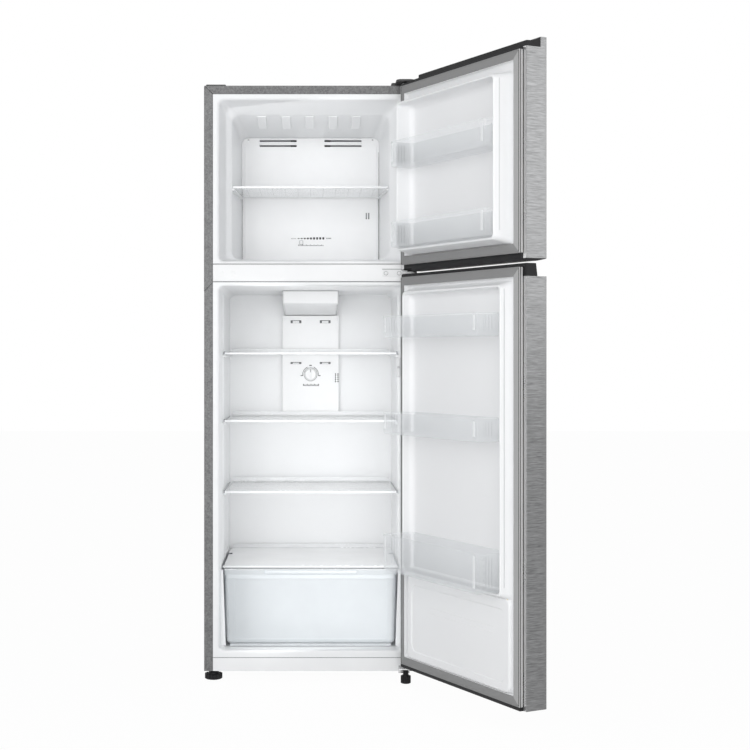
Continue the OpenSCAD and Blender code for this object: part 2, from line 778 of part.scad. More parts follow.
module defrost_heater() color("orange") in_cabinet() {
    y = (coil_y[0] + coil_y[1]) / 2;
    z = coil_z[0] - 18;
    hanger_t = 2.4;
    hanger_hw = 6;
    rod_x([-coil_half, coil_half], y, z, 5);
    both_sides() box([coil_half - hanger_t / 2, coil_half + hanger_t / 2], [y - hanger_hw, y + hanger_hw],
        [z - hanger_hw, coil_z[0] - seat]);
}

module duct_panel() color("white") in_cabinet() difference() {
    box([-duct_half, duct_half], [duct_front, liner_d], [duct_low, duct_top]);
    inner = duct_half - duct_wall;
    through = [duct_front - cut, duct_front + duct_wall + cut];
    box([-inner, inner], [duct_front + duct_wall, liner_d + cut], [duct_low + duct_wall, duct_top + cut]);
    for (x = vent_x, i = [0, 1])
        box([x, x + vent_w], through, [lamp_back_z - vent_drop[i], lamp_back_z - vent_drop[i] + vent_h[i]]);
    rod_y(0, through, knob_z, knob_shaft_r + pin_gap);
}

module dial_knob() color("white") in_cabinet() {
    bar = [2, 3, knob_r - 1.5];
    face = duct_front - knob_t;
    rod_y(0, [face, duct_front - seat], knob_z, knob_r);
    rod_y(0, [duct_front - 1, duct_front + 5], knob_z, knob_shaft_r);
    box([-bar[0], bar[0]], [face - bar[1], face + 0.1], [knob_z - bar[2], knob_z + bar[2]]);
}

module lamp_housing() color("white") in_cabinet() {
    top_front = frg_top(lamp_front) - seat;
    top_back = frg_top(liner_d) - seat;
    difference() {
        lamp_side(0, top_front, top_back);
        lamp_side(lamp_t, top_front + 9, top_back + 9);
        box([-duct_half + 10, duct_half - 10], [duct_front + 3, liner_d - 3],
            [lamp_back_z - cut, lamp_back_z + lamp_t + cut]);
    }
}

// The lamp housing's side view, set in by e
module lamp_side(e, top_front, top_back) {
    front = lamp_front + e;
    low = lamp_low_z + e;
    across([-lamp_half + e, lamp_half - e], [[front, top_front], [front, low + lamp_nose[1]],
        [front + lamp_nose[0], low], [duct_front - lamp_heel, lamp_back_z + e],
        [liner_d - e, lamp_back_z + e], [liner_d - e, top_back]]);
}

module switch_housing() color("white") in_cabinet() difference() {
    x = [switch_wall - switch_rise, switch_wall];
    rounding = (switch_z[1] - switch_z[0]) / 4;
    translate([x[0], 0, 0]) rotate([90, 0, 90]) linear_extrude(x[1] - x[0]) difference() {
        translate([switch_y[0], switch_z[0]])
            square([switch_y[1] - switch_y[0], switch_z[1] - switch_z[0]]);
        translate([switch_y[1], switch_z[0]]) rotate(45) square(rounding, center = true);
        translate([switch_y[1], switch_z[1]]) rotate(45) square(rounding, center = true);
    }
    rod_y(plunger_x, [switch_y[0] - cut, switch_y[1] - 10], plunger_z, plunger_r + pin_gap);
}

module switch_button() color("lightgray") in_cabinet() {
    rod_y(plunger_x, [switch_y[0] - 6, switch_y[0] + 12], plunger_z, plunger_r);
}

// ---- Machine compartment ----

module compressor() color("black") in_cabinet() {
    dome = 26;
    foot_in = 14;
    plate = compressor_plate;
    translate([compressor_x, compressor_y, compressor_z]) {
        rotate_extrude() polygon(concat([[0, 0], [compressor_r - foot_in, 0], [compressor_r, dome]],
            [for (a = [0:15:90]) [compressor_r - dome + dome * cos(a), compressor_h - dome + dome * sin(a)]],
            [[0, compressor_h]]));
        translate(-plate / 2) cube(plate);
        translate([compressor_r - 6, -terminal_box[1] / 2, 40]) cube(terminal_box);
    }
    for (x = [-mount_x, mount_x], y = [-mount_y, mount_y])
        rod_z(compressor_x + x, compressor_y + y, [cab_z0 + pan_t, compressor_z - 1], mount_r);
}

module condenser_pipes() color("peru") in_cabinet() {
    turn_x = compressor_x - compressor_r - 30;
    end_y = compressor_y - 4;
    condenser_loop(0);
    rod_x([loop_x - bend_r, turn_x + bend_r], loop_y[1], drop_z, bend_r);
    rod_y(turn_x, [end_y - tube_r, loop_y[1]], drop_z, tube_r);
    rod_x([turn_x - bend_r, compressor_x - compressor_r - seat], end_y, drop_z, bend_r);
    rod_x(drier_x, loop_y[1], drop_z, drier_r);
}

module drain_tray() color("black") in_cabinet() difference() {
    z0 = cab_z0 + pan_t;
    box(tray_x, tray_y, [z0, z0 + tray_h]);
    box([tray_x[0] + tray_t, tray_x[1] - tray_t], [tray_y[0] + tray_t, tray_y[1] - tray_t],
        [z0 + tray_t, z0 + tray_h + cut]);
}

module machine_cover() color("gray") in_cabinet() difference() {
    through = [back_y - cut, cab_d + cut];
    louvre = [6, 45];
    reach = 150;
    pitch = 30;
    box([-cab_hw, cab_hw], [back_y, cab_d], [cab_z0, machine_z1]);
    for (x = [-reach:pitch:reach], drop = [130, 70])
        translate([x - louvre[0] / 2, 0, machine_z1 - drop]) box([0, louvre[0]], through, [0, louvre[1]]);
    rod_y(gland_x, through, gland_z, gland_r);
}

module power_gland() color("black") in_cabinet() difference() {
    rim_w = 4;
    rim_t = 3;
    lock_t = 7;
    union() {
        rod_y(gland_x, [back_y - 5, cab_d], gland_z, gland_r - 0.1);
        rod_y(gland_x, [cab_d, cab_d + rim_t], gland_z, gland_r + rim_w);
        rod_y(gland_x, [back_y - lock_t, back_y], gland_z, gland_r + rim_w / 2);
    }
    rod_y(gland_x, [back_y - lock_t - cut, cab_d + rim_t + cut], gland_z, cord_r);
}

// ---- Hinges, feet and rollers ----

module top_hinge() color("silver") in_cabinet() difference() {
    union() {
        box([hinge_x - 46, hinge_x + 8], [6, 64], [cab_z1, cab_z1 + plate_t]);
        box([hinge_x - 10, hinge_x + 8], [hinge_y, 24], [cab_z1 + plate_t, cab_z1 + 2 * plate_t]);
        rod_z(hinge_x, hinge_y, [cab_z1 + plate_t, cab_z1 + 2 * plate_t], knuckle_r);
        rod_z(hinge_x, hinge_y, [low_cap_z - pin_len, cab_z1 + plate_t + 1], pin_r);
    }
    hinge_holes();
}

module top_covers() color("dimgray") in_cabinet() {
    x = [hinge_x - 47.5, hinge_x + 13];
    arm_x = x[0] + 10;
    front = hinge_y - 14;
    back = 66;
    top = cab_z1 + 9;
    wall = 1.6;
    difference() {
        union() {
            box([arm_x, x[1]], [front, back], [cab_z1 + plate_t, top]);
            box(x, [4, back], [cab_z1, top]);
        }
        box([arm_x + wall, x[1] - wall], [front + wall, back - wall], [cab_z1 + plate_t - 1, top - wall]);
        box([x[0] + 1.2, x[1] - 4.6], [5, back - wall], [cab_z1 - 1, cab_z1 + plate_t + seat]);
    }
    box([-cab_hw + 5, -cab_hw + 56], [1, 30], [cab_z1, cab_z1 + 3]);
}

module middle_hinge() color("silver") in_cabinet() difference() {
    union() {
        box([hinge_x - hinge_span, hinge_x - 3], [-2, 0], mid_plate);
        box([hinge_x - 20, hinge_x - 3], [hinge_y, 0], [arm_z, arm_z + plate_t]);
        box([hinge_x - 20, hinge_x], [hinge_y - knuckle_r, hinge_y + knuckle_r], [arm_z, arm_z + plate_t]);
        rod_z(hinge_x, hinge_y, [arm_z, arm_z + plate_t], knuckle_r);
        rod_z(hinge_x, hinge_y, [arm_z - pin_len, arm_z + plate_t + pin_len], pin_r);
    }
    hinge_holes();
}

module bottom_hinge() color("silver") in_cabinet() difference() {
    union() {
        box([hinge_x - 30, hinge_x - 1], [-2, 0], [cab_z0 - 5, low_plate_z + plate_t]);
        box([hinge_x - 30, hinge_x], [hinge_y - 11, 0], [low_plate_z, low_plate_z + plate_t]);
        box([hinge_x - 1, hinge_x + 6], [hinge_y, -2.4], [low_plate_z, low_plate_z + plate_t]);
        rod_z(hinge_x, hinge_y, [low_plate_z, low_plate_z + plate_t], 11);
        rod_z(hinge_x, hinge_y, [low_plate_z, low_plate_z + plate_t + pin_len], pin_r);
    }
    hinge_holes();
}

module hinge_screws() color("silver") in_cabinet() {
    for (s = top_screws) {
        rod_z(s[0], s[1], [cab_z1 - screw_len + plate_t, cab_z1 + plate_t], screw_r);
        rod_z(s[0], s[1], [cab_z1 + plate_t, cab_z1 + plate_t + screw_head_h], screw_head_r);
    }
    for (x = mid_screws) {
        rod_y(x, [-2, screw_len], (mid_plate[0] + mid_plate[1]) / 2, screw_r);
        rod_y(x, [-2 - screw_head_h, -2], (mid_plate[0] + mid_plate[1]) / 2, screw_head_r);
    }
    for (x = low_screws) {
        rod_y(x, [-2, screw_len], low_screw_z, screw_r);
        rod_y(x, [-3.6, -2], low_screw_z, 2.8);
    }
}

module front_feet() color("black") in_cabinet() {
    rod_z(foot_x, foot_y, [0, foot_h], foot_r);
    rod_z(foot_x, foot_y, [foot_h, cab_z0 - seat], foot_neck_r);
    rod_z(foot_x, foot_y, [cab_z0 - 1, cab_z0 + foot_pin_len], foot_pin_r);
    rod_z(right_foot_x, right_foot_y, [0, right_foot_h], right_foot_r);
    rod_z(right_foot_x, right_foot_y, [right_foot_h, low_plate_z], right_neck_r);
}

module roller(x) difference() {
    rod_x([x - roller_w / 2, x + roller_w / 2], roller_y, roller_r, roller_r);
    rod_x([x - roller_w, x + roller_w], roller_y, roller_r, axle_r + pin_gap);
}

module roller_left() color("black") in_cabinet() roller(-roller_x);

module roller_right() color("black") in_cabinet() roller(roller_x);

// ---- Shelves and crisper ----

// The glass of a shelf whose top is at z, which its trims hold by their grooves
module pane(z) box([-shelf_hw + 0.5, shelf_hw - 0.5], [shelf_front + groove_front, shelf_back - groove_back],
    [z - trim_h + 1, z - trim_h + 1 + glass_t]);

module shelf_glass(z) color("azure", 0.5) in_cabinet() pane(z);

module shelf_trim(z) color("whitesmoke") in_cabinet() difference() {
    union() {
        box([-shelf_hw, shelf_hw], [shelf_front, shelf_front + trim_d[0]], [z - trim_h, z]);
        box([-rear_hw, rear_hw], [shelf_back - trim_d[1], shelf_back], [z - trim_h, z]);
        box([-rear_hw, rear_hw], [shelf_back - upstand_t, shelf_back], [z - 1, z + upstand_h]);
    }
    pane(z);
}

module shelf_glass_top() shelf_glass(shelf_z[0]);

module shelf_glass_middle() shelf_glass(shelf_z[1]);

module shelf_glass_lower() shelf_glass(shelf_z[2]);

module shelf_trim_top() shelf_trim(shelf_z[0]);

module shelf_trim_middle() shelf_trim(shelf_z[1]);

module shelf_trim_lower() shelf_trim(shelf_z[2]);

module freezer_shelf() color("azure", 0.7) in_cabinet() {
    y = [throat_d, back_cover_d - 4];
    half = [frz_half(throat_d + 3) - freezer_shelf_gap, frz_half(y[1]) - freezer_shelf_gap];
    upright([freezer_shelf_low, freezer_shelf_low + freezer_shelf_t],
        [[-half[0], y[0]], [half[0], y[0]], [half[1], y[1]], [-half[1], y[1]]]);
    box([-half[0], half[0]], [y[0], y[0] + 8], [freezer_shelf_low, frz_shelf_z]);
    box([-half[1], half[1]], [y[1] - upstand_t, y[1]], [freezer_shelf_low, frz_shelf_z + upstand_h]);
}

// The glass of the crisper cover
module cover_pane() {
    half = cover_hw - 0.5;
    low = cover_z - cover_t + 0.8;
    box([-half, half], [cover_front + 12, liner_d - 12], [low, low + glass_t]);
}

module crisper_cover_glass() color("azure", 0.5) in_cabinet() cover_pane();

module crisper_cover_trim() color("whitesmoke") in_cabinet() {
    rear = frg_half(liner_d) - 9;
    back = liner_d - cover_seat;
    low = cover_z - cover_t - seat;
    front_d = 20;
    side_w = 10;
    difference() {
        union() {
            box([-cover_hw, cover_hw], [cover_front, cover_front + front_d], [low, cover_z]);
            box([-rear, rear], [back - trim_d[1], back], [low, cover_z]);
            box([-rear, rear], [back - upstand_t, back], [cover_z - 1, cover_z + upstand_h]);
            both_sides() box([cover_hw - side_w, cover_hw], [cover_front + front_d - 1, back - trim_d[1] + 1],
                [low, cover_z - cover_t + 0.8]);
        }
        cover_pane();
    }
}

module crisper_drawer() color("lightblue", 0.6) in_cabinet() {
    z0 = frg_z0 + drawer_rise;
    z1 = z0 + drawer_h;
    grip_half = 120;
    difference() {
        union() {
            drawer_shape(z0, z1, 0);
            box([-grip_half, grip_half], [drawer_front - 6, drawer_front + 2], [z1 - 10, z1 - 2]);
        }
        drawer_shape(z0, z1, drawer_t);
    }
}

// The drawer body: its sides lean out from the floor to the rim
module drawer_shape(z0, z1, e) {
    low = drawer_low_half - e;
    top = drawer_top_half - e;
    chamfer = 10;
    translate([0, drawer_back - e, 0]) rotate([90, 0, 0])
        linear_extrude(drawer_back - drawer_front - 2 * e)
            polygon([[-low + chamfer, z0 + e], [low - chamfer, z0 + e], [low, z0 + e + chamfer],
                [top, z1 + (e > 0 ? 1 : 0)], [-top, z1 + (e > 0 ? 1 : 0)], [-low, z0 + e + chamfer]]);
}

// ---- Doors ----

// The sheet wrapped round a door: front face, side returns and narrow inner rims
module door_skin(z, front_z) color("silver") on_door() {
    box([-door_hw, door_hw], [face_y, face_y + sheet_t], [z[0], front_z]);
    box([-door_hw, -door_hw + sheet_t], [face_y, rim_y], z);
    box([-door_hw, -door_hw + sheet_t], [face_y, face_y + strip_d], [z[0], front_z]);
    box([-door_hw, -gasket_hw], [rim_y - sheet_t, rim_y], z);
}

module hinge_side_skin(z) color("silver") on_door() {
    box([door_hw - sheet_t, door_hw], [face_y, rim_y], z);
    box([gasket_hw, door_hw], [rim_y - sheet_t, rim_y], z);
}

module freezer_door_skin() {
    door_skin([frz_skin_z0, frz_cap_z], frz_top_z);
    hinge_side_skin([frz_skin_z0, low_cap_z - cap_plate]);
}

module fridge_door_skin() {
    door_skin([frg_skin_z0, frg_skin_z1], frg_skin_z1);
    hinge_side_skin([frg_skin_z0, frg_skin_z1]);
}

// Everything that the liner of a door encloses, set in by e
module liner_body(crest, pocket_z, e) {
    foot = foot_w - e;
    top = crest_w - e;
    difference() {
        loft([[rim_y - liner_t, pocket_half + foot, pocket_z[0] - foot, pocket_z[1] + foot, ridge_r],
            [rim_y + crest - e, pocket_half + top, pocket_z[0] - top, pocket_z[1] + top, crest_r]]);
        loft([for (y = [rim_y + panel_rise - e, rim_y + crest + cut])
            [y, pocket_half + e, pocket_z[0] - e, pocket_z[1] + e, pocket_r]]);
    }
}

// The plateau below the ridges, set in by e
module plateau(z, e) {
    half = pocket_half + foot_w - e;
    slope = 4;
    if (len(z) == 2)
        loft([[rim_y - liner_t, half, z[0] + e, z[1] - e, ridge_r],
            [rim_y + plateau_h - e, half - slope, z[0] + slope + e, z[1] - e, crest_r]]);
}

module door_liner(seal, crest, pocket_z, bins, low = []) color("white") on_door() {
    difference() {
        union() {
            box([-gasket_hw, gasket_hw], [rim_y - liner_t, rim_y], seal);
            liner_body(crest, pocket_z, 0);
            plateau(low, 0);
        }
        liner_body(crest, pocket_z, liner_t);
        plateau(low, liner_t);
    }
    for (z = bins) both_sides()
        box([pocket_half - boss_w, pocket_half + liner_t / 2], [rim_y + 10, rim_y + crest - 8],
            [max(z - boss_h, pocket_z[0] - 1), z - seat]);
}

module freezer_door_liner() door_liner(frz_seal, freezer_crest, frz_pocket, frz_bin_z);

module fridge_door_liner() door_liner(frg_seal, fridge_crest, frg_pocket, frg_bin_z, plateau_z);

module door_foam(z, crest, pocket_z, low = []) color("khaki") on_door() {
    half = door_hw - sheet_t;
    box([-half, half], [face_y + sheet_t, rim_y - liner_t], z);
    difference() {
        union() {
            liner_body(crest, pocket_z, liner_t);
            plateau(low, liner_t);
        }
        box([-half, half], [face_y, rim_y - liner_t], z);
    }
}

module freezer_door_foam() door_foam([frz_seal[0], low_cap_z - cap_block], freezer_crest, frz_pocket);

module fridge_door_foam()
    door_foam([frg_seal[0] + 8, frg_skin_z1 - cap_block], fridge_crest, frg_pocket, plateau_z);

module freezer_door_top_cap() color("black") on_door() {
    half = door_hw - sheet_t;
    z0 = low_cap_z - cap_block;
    slope = [12, 26];
    strip_y = face_y + strip_d;
    inside = [face_y + sheet_t, rim_y - liner_t];
    difference() {
        union() {
            box([-half, half], inside, [z0, low_cap_z - cap_plate]);
            box([notch_x, door_hw], [face_y + sheet_t, rim_y], [low_cap_z - cap_plate, low_cap_z]);
            box([-gasket_hw, notch_x], [rim_y - liner_t, rim_y], [frz_seal[1], frz_cap_z]);
            box([notch_x - 1, gasket_hw], [rim_y - liner_t, rim_y], [frz_seal[1], low_cap_z]);
            across([-door_hw, notch_x], [[strip_y, frz_cap_z], [rim_y, frz_cap_z], [rim_y, frz_edge_z],
                [rim_y - slope[0], frz_edge_z + 0.5], [rim_y - slope[1], frz_edge_z + 4],
                [strip_y, frz_top_z]]);
            across([-half, notch_x], [[face_y + sheet_t, frz_cap_z], [strip_y + eps, frz_cap_z],
                [strip_y + eps, frz_top_z], [face_y + sheet_t, frz_top_z]]);
        }
        rod_z(hinge_x, hinge_y, [low_cap_z - pin_len - 1, low_cap_z + cut], bore_r);
    }
}

module freezer_door_bottom_cap() color("black") on_door() {
    half = door_hw - sheet_t;
    lip_h = 0.8;
    difference() {
        union() {
            across([-door_hw + 1, door_hw], [[rim_y, frz_door_z0], [rim_y, frz_skin_z0],
                [face_y + 1, frz_skin_z0], [face_y + 1, frz_skin_z0 - lip_h], [rim_y - 30, frz_door_z0]]);
            box([-half, half], [face_y + sheet_t, rim_y - liner_t], [frz_skin_z0, frz_seal[0]]);
            box([-gasket_hw, gasket_hw], [rim_y - liner_t, rim_y], [frz_skin_z0, frz_seal[0]]);
        }
        rod_z(hinge_x, hinge_y, [frz_door_z0 - 1, frz_door_z0 + pin_len + 1.2], bore_r);
    }
}

module fridge_door_top_cap() color("black") on_door() {
    half = door_hw - sheet_t;
    behind = rim_y - liner_t;
    difference() {
        union() {
            box([-half, half], [face_y + sheet_t, behind], [frg_skin_z1 - cap_block, frg_skin_z1 - 0.5]);
            across([-door_hw, door_hw], [[face_y + grip_d - 2, frg_skin_z1], [behind, frg_skin_z1],
                [behind, frg_door_top], [face_y + grip_d + 2, frg_door_top]]);
            box([-half, half], [face_y + grip_d - 2, behind], [frg_skin_z1 - 1, frg_skin_z1 + 1]);
            box([-door_hw, door_hw], [behind - eps, rim_y], [frg_seal[1], frg_door_top]);
            both_sides() box([gasket_hw, door_hw], [behind - eps, rim_y], [frg_skin_z1, frg_seal[1] + eps]);
        }
        rod_z(hinge_x, hinge_y, [frg_door_top - pin_len - 1.2, frg_door_top + 1], bore_r);
    }
}

module fridge_door_bottom_cap() color("black") on_door() {
    half = door_hw - sheet_t;
    difference() {
        union() {
            box([-door_hw, door_hw], [face_y + 1, rim_y], [door_foot, frg_skin_z0]);
            box([-half, half], [face_y + sheet_t, rim_y - liner_t], [frg_skin_z0, frg_seal[0] + 8]);
            box([-gasket_hw, gasket_hw], [rim_y - liner_t, rim_y], [frg_skin_z0, frg_seal[0]]);
            rod_z(hinge_x, hinge_y, [low_plate_z + plate_t + seat, door_foot + 1], bush_r);
        }
        rod_z(hinge_x, hinge_y, [low_plate_z, door_foot + pin_len - 2], bore_r);
    }
}

// A gasket: a wide foot, narrow bellows and a broad magnetic head
module gasket(seal) color("gray") on_door() {
    head = [-seal_gap - 4, -seal_gap];
    foot = [rim_y, rim_y + 3];
    inset = 2.5;
    frame_xz(gasket_hw, seal, gasket_w, foot);
    frame_xz(gasket_hw - inset, [seal[0] + inset, seal[1] - inset], gasket_w - 2 * inset, [foot[1], head[0]]);
    frame_xz(gasket_hw, seal, gasket_w, head);
}

module freezer_door_gasket() gasket(frz_seal);

module fridge_door_gasket() gasket(frg_seal);

// ---- Door bins ----

// Plan of a bin with rounded front corners, set in by e
function bin_plan(depth, e) =
    let (r = bin_r, front = rim_y + depth - e, back = rim_y + panel_rise + bin_gap + e, half = bin_hw - e)
    concat([[-half, back], [half, back]],
        [for (a = [0:15:90]) [half - r + r * cos(a), front - r + r * sin(a)]],
        [for (a = [90:15:180]) [-half + r + r * cos(a), front - r + r * sin(a)]]);

module bin(z, depth, height) color("lightblue", 0.6) on_door() difference() {
    upright([z, z + height], bin_plan(depth, 0));
    upright([z + bin_t, z + height + cut], bin_plan(depth, bin_t));
}

module freezer_bin_upper() bin(frz_bin_z[0], freezer_bin_d, freezer_bin_h);

module freezer_bin_lower() bin(frz_bin_z[1], freezer_bin_d, freezer_bin_h);

module fridge_bin_upper() bin(frg_bin_z[0], fridge_bin_d, fridge_bin_h);

module fridge_bin_middle() bin(frg_bin_z[1], fridge_bin_d, fridge_bin_h);

module fridge_bin_lower() bin(frg_bin_z[2], fridge_bin_d, bottle_bin_h);

cabinet_shell();
back_panel();
base_pan();
cabinet_foam();
freezer_liner();
fridge_liner();
centre_rail();
rail_plugs();
plinth_strip();
freezer_back_cover();
evaporator();
fan_motor();
fan_blade();
defrost_heater();
duct_panel();
lamp_housing();
compressor();
condenser_pipes();
drain_tray();
machine_cover();
top_hinge();
top_covers();
middle_hinge();
bottom_hinge();
hinge_screws();
front_feet();
roller_left();
roller_right();
power_gland();
switch_housing();
switch_button();
dial_knob();
freezer_slider();
freezer_shelf();
shelf_glass_top();
shelf_glass_middle();
shelf_glass_lower();
shelf_trim_top();
shelf_trim_middle();
shelf_trim_lower();
crisper_cover_glass();
crisper_cover_trim();
crisper_drawer();
freezer_door_skin();
freezer_door_liner();
freezer_door_foam();
freezer_door_top_cap();
freezer_door_bottom_cap();
freezer_door_gasket();
fridge_door_skin();
fridge_door_liner();
fridge_door_foam();
fridge_door_top_cap();
fridge_door_bottom_cap();
fridge_door_gasket();
freezer_bin_upper();
freezer_bin_lower();
fridge_bin_upper();
fridge_bin_middle();
fridge_bin_lower();
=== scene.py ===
import json
from math import cos, pi, radians, sin
import bmesh
import bpy
from mathutils import Matrix, Vector


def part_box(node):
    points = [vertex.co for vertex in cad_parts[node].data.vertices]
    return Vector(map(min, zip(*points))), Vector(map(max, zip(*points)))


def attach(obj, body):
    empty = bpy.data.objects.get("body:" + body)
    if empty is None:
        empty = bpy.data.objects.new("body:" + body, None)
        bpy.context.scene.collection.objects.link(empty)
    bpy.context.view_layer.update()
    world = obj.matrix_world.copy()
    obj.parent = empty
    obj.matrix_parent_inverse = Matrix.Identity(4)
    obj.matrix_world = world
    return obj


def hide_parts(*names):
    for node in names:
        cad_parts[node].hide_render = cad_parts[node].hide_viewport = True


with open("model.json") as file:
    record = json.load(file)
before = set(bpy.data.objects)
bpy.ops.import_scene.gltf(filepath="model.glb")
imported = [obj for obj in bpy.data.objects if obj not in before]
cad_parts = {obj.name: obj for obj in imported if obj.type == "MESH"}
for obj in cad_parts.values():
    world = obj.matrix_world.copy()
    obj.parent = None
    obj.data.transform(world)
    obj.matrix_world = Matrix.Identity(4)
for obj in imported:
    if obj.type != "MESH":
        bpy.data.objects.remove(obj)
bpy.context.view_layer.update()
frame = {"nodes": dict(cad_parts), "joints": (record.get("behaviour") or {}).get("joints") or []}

# ---- Two places: the cabinet, and a door as it hangs when it is closed. Both are in millimetres, with
# X across from the middle, Y from the cabinet's front towards its back, and Z up from the floor.

MM = 0.001
shell_low, shell_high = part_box("cabinet_shell")
CABINET = Matrix.Translation(((shell_low.x + shell_high.x) / 2, shell_low.y, 0)) @ Matrix.Scale(MM, 4)
door_joint = next(j for j in frame["joints"] if j["name"] == "fridge_door_hinge")
OPEN = -radians(door_joint["range_deg"][0])
hinge = Matrix.Translation((door_joint["pos_m"][0], door_joint["pos_m"][1], 0))
DOOR = hinge @ Matrix.Rotation(OPEN, 4, "Z") @ hinge.inverted() @ CABINET


def span(node, place=CABINET):
    """The lowest and highest X, Y and Z of a CAD node, in the millimetres of its place."""
    back = place.inverted()
    corners = [back @ v.co for v in frame["nodes"][node].data.vertices]
    return [(min(c[i] for c in corners), max(c[i] for c in corners)) for i in range(3)]


# ---- Sizes ----

# Cabinet: the sheet steel, its front flanges and the liners' rims beside the openings
shell_x, shell_y, shell_z = span("cabinet_shell")
half = shell_x[1]
back_y = shell_y[1]
side_flange = 22.7
top_flange = 21.9
flange_lip = 7
flange_x = half - side_flange
flange_z = shell_z[1] - top_flange
rail_z = span("centre_rail")[2]
plinth_z = span("plinth_strip")[2]
open_half = flange_x - 14.8
freezer_z = (rail_z[1] + 7.8, flange_z - 13.6)
fridge_z = (plinth_z[1] + 18.1, rail_z[0] - 10.9)
opening_r = 13
lip_r = 5.5
liner_d = 434
wall_t = 1.2
steel_t = 0.8

# Freezer liner: a flared mouth, then walls that close in towards the back cover
throat_d = 85
throat_in = 30.1
throat_drop = 26.6
cover_x, cover_y, cover_z = span("freezer_back_cover")
cover_d = cover_y[0]
freezer_draft = 14.4
ceiling_drop = 24.4
floor_rise = 9

# Lower liner: a short flare, then nearly straight walls, with a step over the compressor
mouth_d = 24
mouth_in = 4
fridge_draft = 1.5
fridge_fall = 7
fridge_rise = 1.5
step_y = 301
step_z = 282

# Doors, closed
skin_x, skin_y, freezer_skin_z = span("freezer_door_skin", DOOR)
fridge_skin_z = span("fridge_door_skin", DOOR)[2]
door_half = skin_x[1]
face_y, rim_y = skin_y
strip_y = face_y + 17
gasket_x, _, freezer_seal_z = span("freezer_door_gasket", DOOR)
fridge_seal_z = span("fridge_door_gasket", DOOR)[2]
gasket_half = gasket_x[1]
gasket_w = 22
pocket_half = 212
ridge_w = 14
freezer_crest = 50
fridge_crest = 32
panel_rise = 3
plateau_rise = 11
freezer_steel_z = shell_z[1] - 3.5

# The lower door's steel hangs down by foot_drop, the caps' lips reach back to lip_y, and the hinge bushes
# stand at bush_at
foot_drop = 2
lip_y = -4
bush_at = (door_half - 17.5, -31)

# Hinges: one pin line for both doors
hinge_x, hinge_y, _ = CABINET.inverted() @ Vector(door_joint["pos_m"])
pin = (hinge_x, hinge_y)
pin_r = 4
top_plate_t = 3
rail_plate_z = (rail_z[0] + 12.4, rail_z[1] - 14)
plate_screws_x = (hinge_x - 62, hinge_x - 28)

# Inside fittings
LEVELS = ("top", "middle", "lower")
duct_y = span("duct_panel")[1][0]
knob_z = next(j for j in frame["joints"] if j["name"] == "thermostat_turn")["pos_m"][2] / MM
dial_centre = (0, knob_z)
knob_r = 18.5
shelf_y = span("shelf_trim_top")[1]
trim_h = 5.4
drawer_front = 45


def freezer_half(d):
    """Half the freezer's width at a depth from the cabinet's front."""
    if d < throat_d:
        return open_half - throat_in * d / throat_d
    return open_half - throat_in - freezer_draft * (d - throat_d) / (cover_d - throat_d)


def freezer_top(d):
    """The height of the freezer's ceiling at a depth."""
    if d < throat_d:
        return freezer_z[1] - throat_drop * d / throat_d
    return freezer_z[1] - throat_drop - ceiling_drop * (d - throat_d) / (cover_d - throat_d)


def freezer_low(d):
    """The height of the freezer's floor at a depth."""
    return freezer_z[0] + floor_rise * min(d / throat_d, 1)


def fridge_half(d):
    """Half the lower compartment's width at a depth from the cabinet's front."""
    if d < mouth_d:
        return open_half - mouth_in * d / mouth_d
    return open_half - mouth_in - fridge_draft * (d - mouth_d) / (liner_d - mouth_d)


def fridge_top(d):
    """The height of the lower compartment's ceiling at a depth."""
    return fridge_z[1] - fridge_fall * d / liner_d


def fridge_low(d):
    """The height of the lower compartment's floor at a depth."""
    return fridge_z[0] + fridge_rise * d / liner_d


def wall_strip(half_at, y, width):
    """The plan of a ledge along the right wall, from one depth to another."""
    near, far = [half_at(d) for d in y]
    return [(near - width, y[0]), (near + 1, y[0]), (far + 1, y[1]), (far - width, y[1])]


# Half the length of the shelves' rear trims, clear of the walls
shelf_rear = fridge_half(shelf_y[0]) - 9


# ---- Modelling ----

def verts_in(geom):
    """The corners among what an operator gives back."""
    return [g for g in geom if isinstance(g, bmesh.types.BMVert)]


def edges_of(verts):
    """Every edge that meets one of these corners."""
    return list({e for v in verts for e in v.link_edges})


def flat_at(bm, y):
    """The faces that lie upright at y."""
    return [f for f in bm.faces if all(abs(v.co.y - y) < 0.01 for v in f.verts)]


def rounded(bm, geom, radius, steps, affect="EDGES"):
    """Rounds edges off, or with affect="VERTICES" the corners of a flat shape."""
    bmesh.ops.bevel(bm, geom=geom, offset=radius, offset_type="OFFSET", segments=steps, profile=0.5,
                    affect=affect, clamp_overlap=affect == "EDGES", material=-1)


def scored(bm, faces, point, normal):
    """Cuts these faces along a plane and keeps both sides."""
    geom = faces + list({e for f in faces for e in f.edges}) + list({v for f in faces for v in f.verts})
    bmesh.ops.bisect_plane(bm, geom=geom, plane_co=point, plane_no=normal, dist=0.001)


def drawn(bm, edges, along=(0, 0, 0)):
    """Draws a sheet out from edges, and gives back its far corners and edges."""
    out = bmesh.ops.extrude_edge_only(bm, edges=edges)["geom"]
    far = verts_in(out)
    bmesh.ops.translate(bm, vec=along, verts=far)
    return far, [g for g in out if isinstance(g, bmesh.types.BMEdge)]


def drawn_in(u, by):
    """A span made smaller by the same at both ends."""
    return (u[0] + by, u[1] - by)


def rim_of(bm):
    """The open edges of a sheet."""
    return [e for e in bm.edges if len(e.link_faces) == 1]


def block(bm, x, y, z, edge=0.0, steps=2):
    """A box between two corners, its edges rounded."""
    made = bmesh.ops.create_cube(bm, size=1)["verts"]
    bmesh.ops.scale(bm, vec=(x[1] - x[0], y[1] - y[0], z[1] - z[0]), verts=made)
    bmesh.ops.translate(bm, vec=((x[0] + x[1]) / 2, (y[0] + y[1]) / 2, (z[0] + z[1]) / 2), verts=made)
    if edge:
        rounded(bm, edges_of(made), edge, steps)


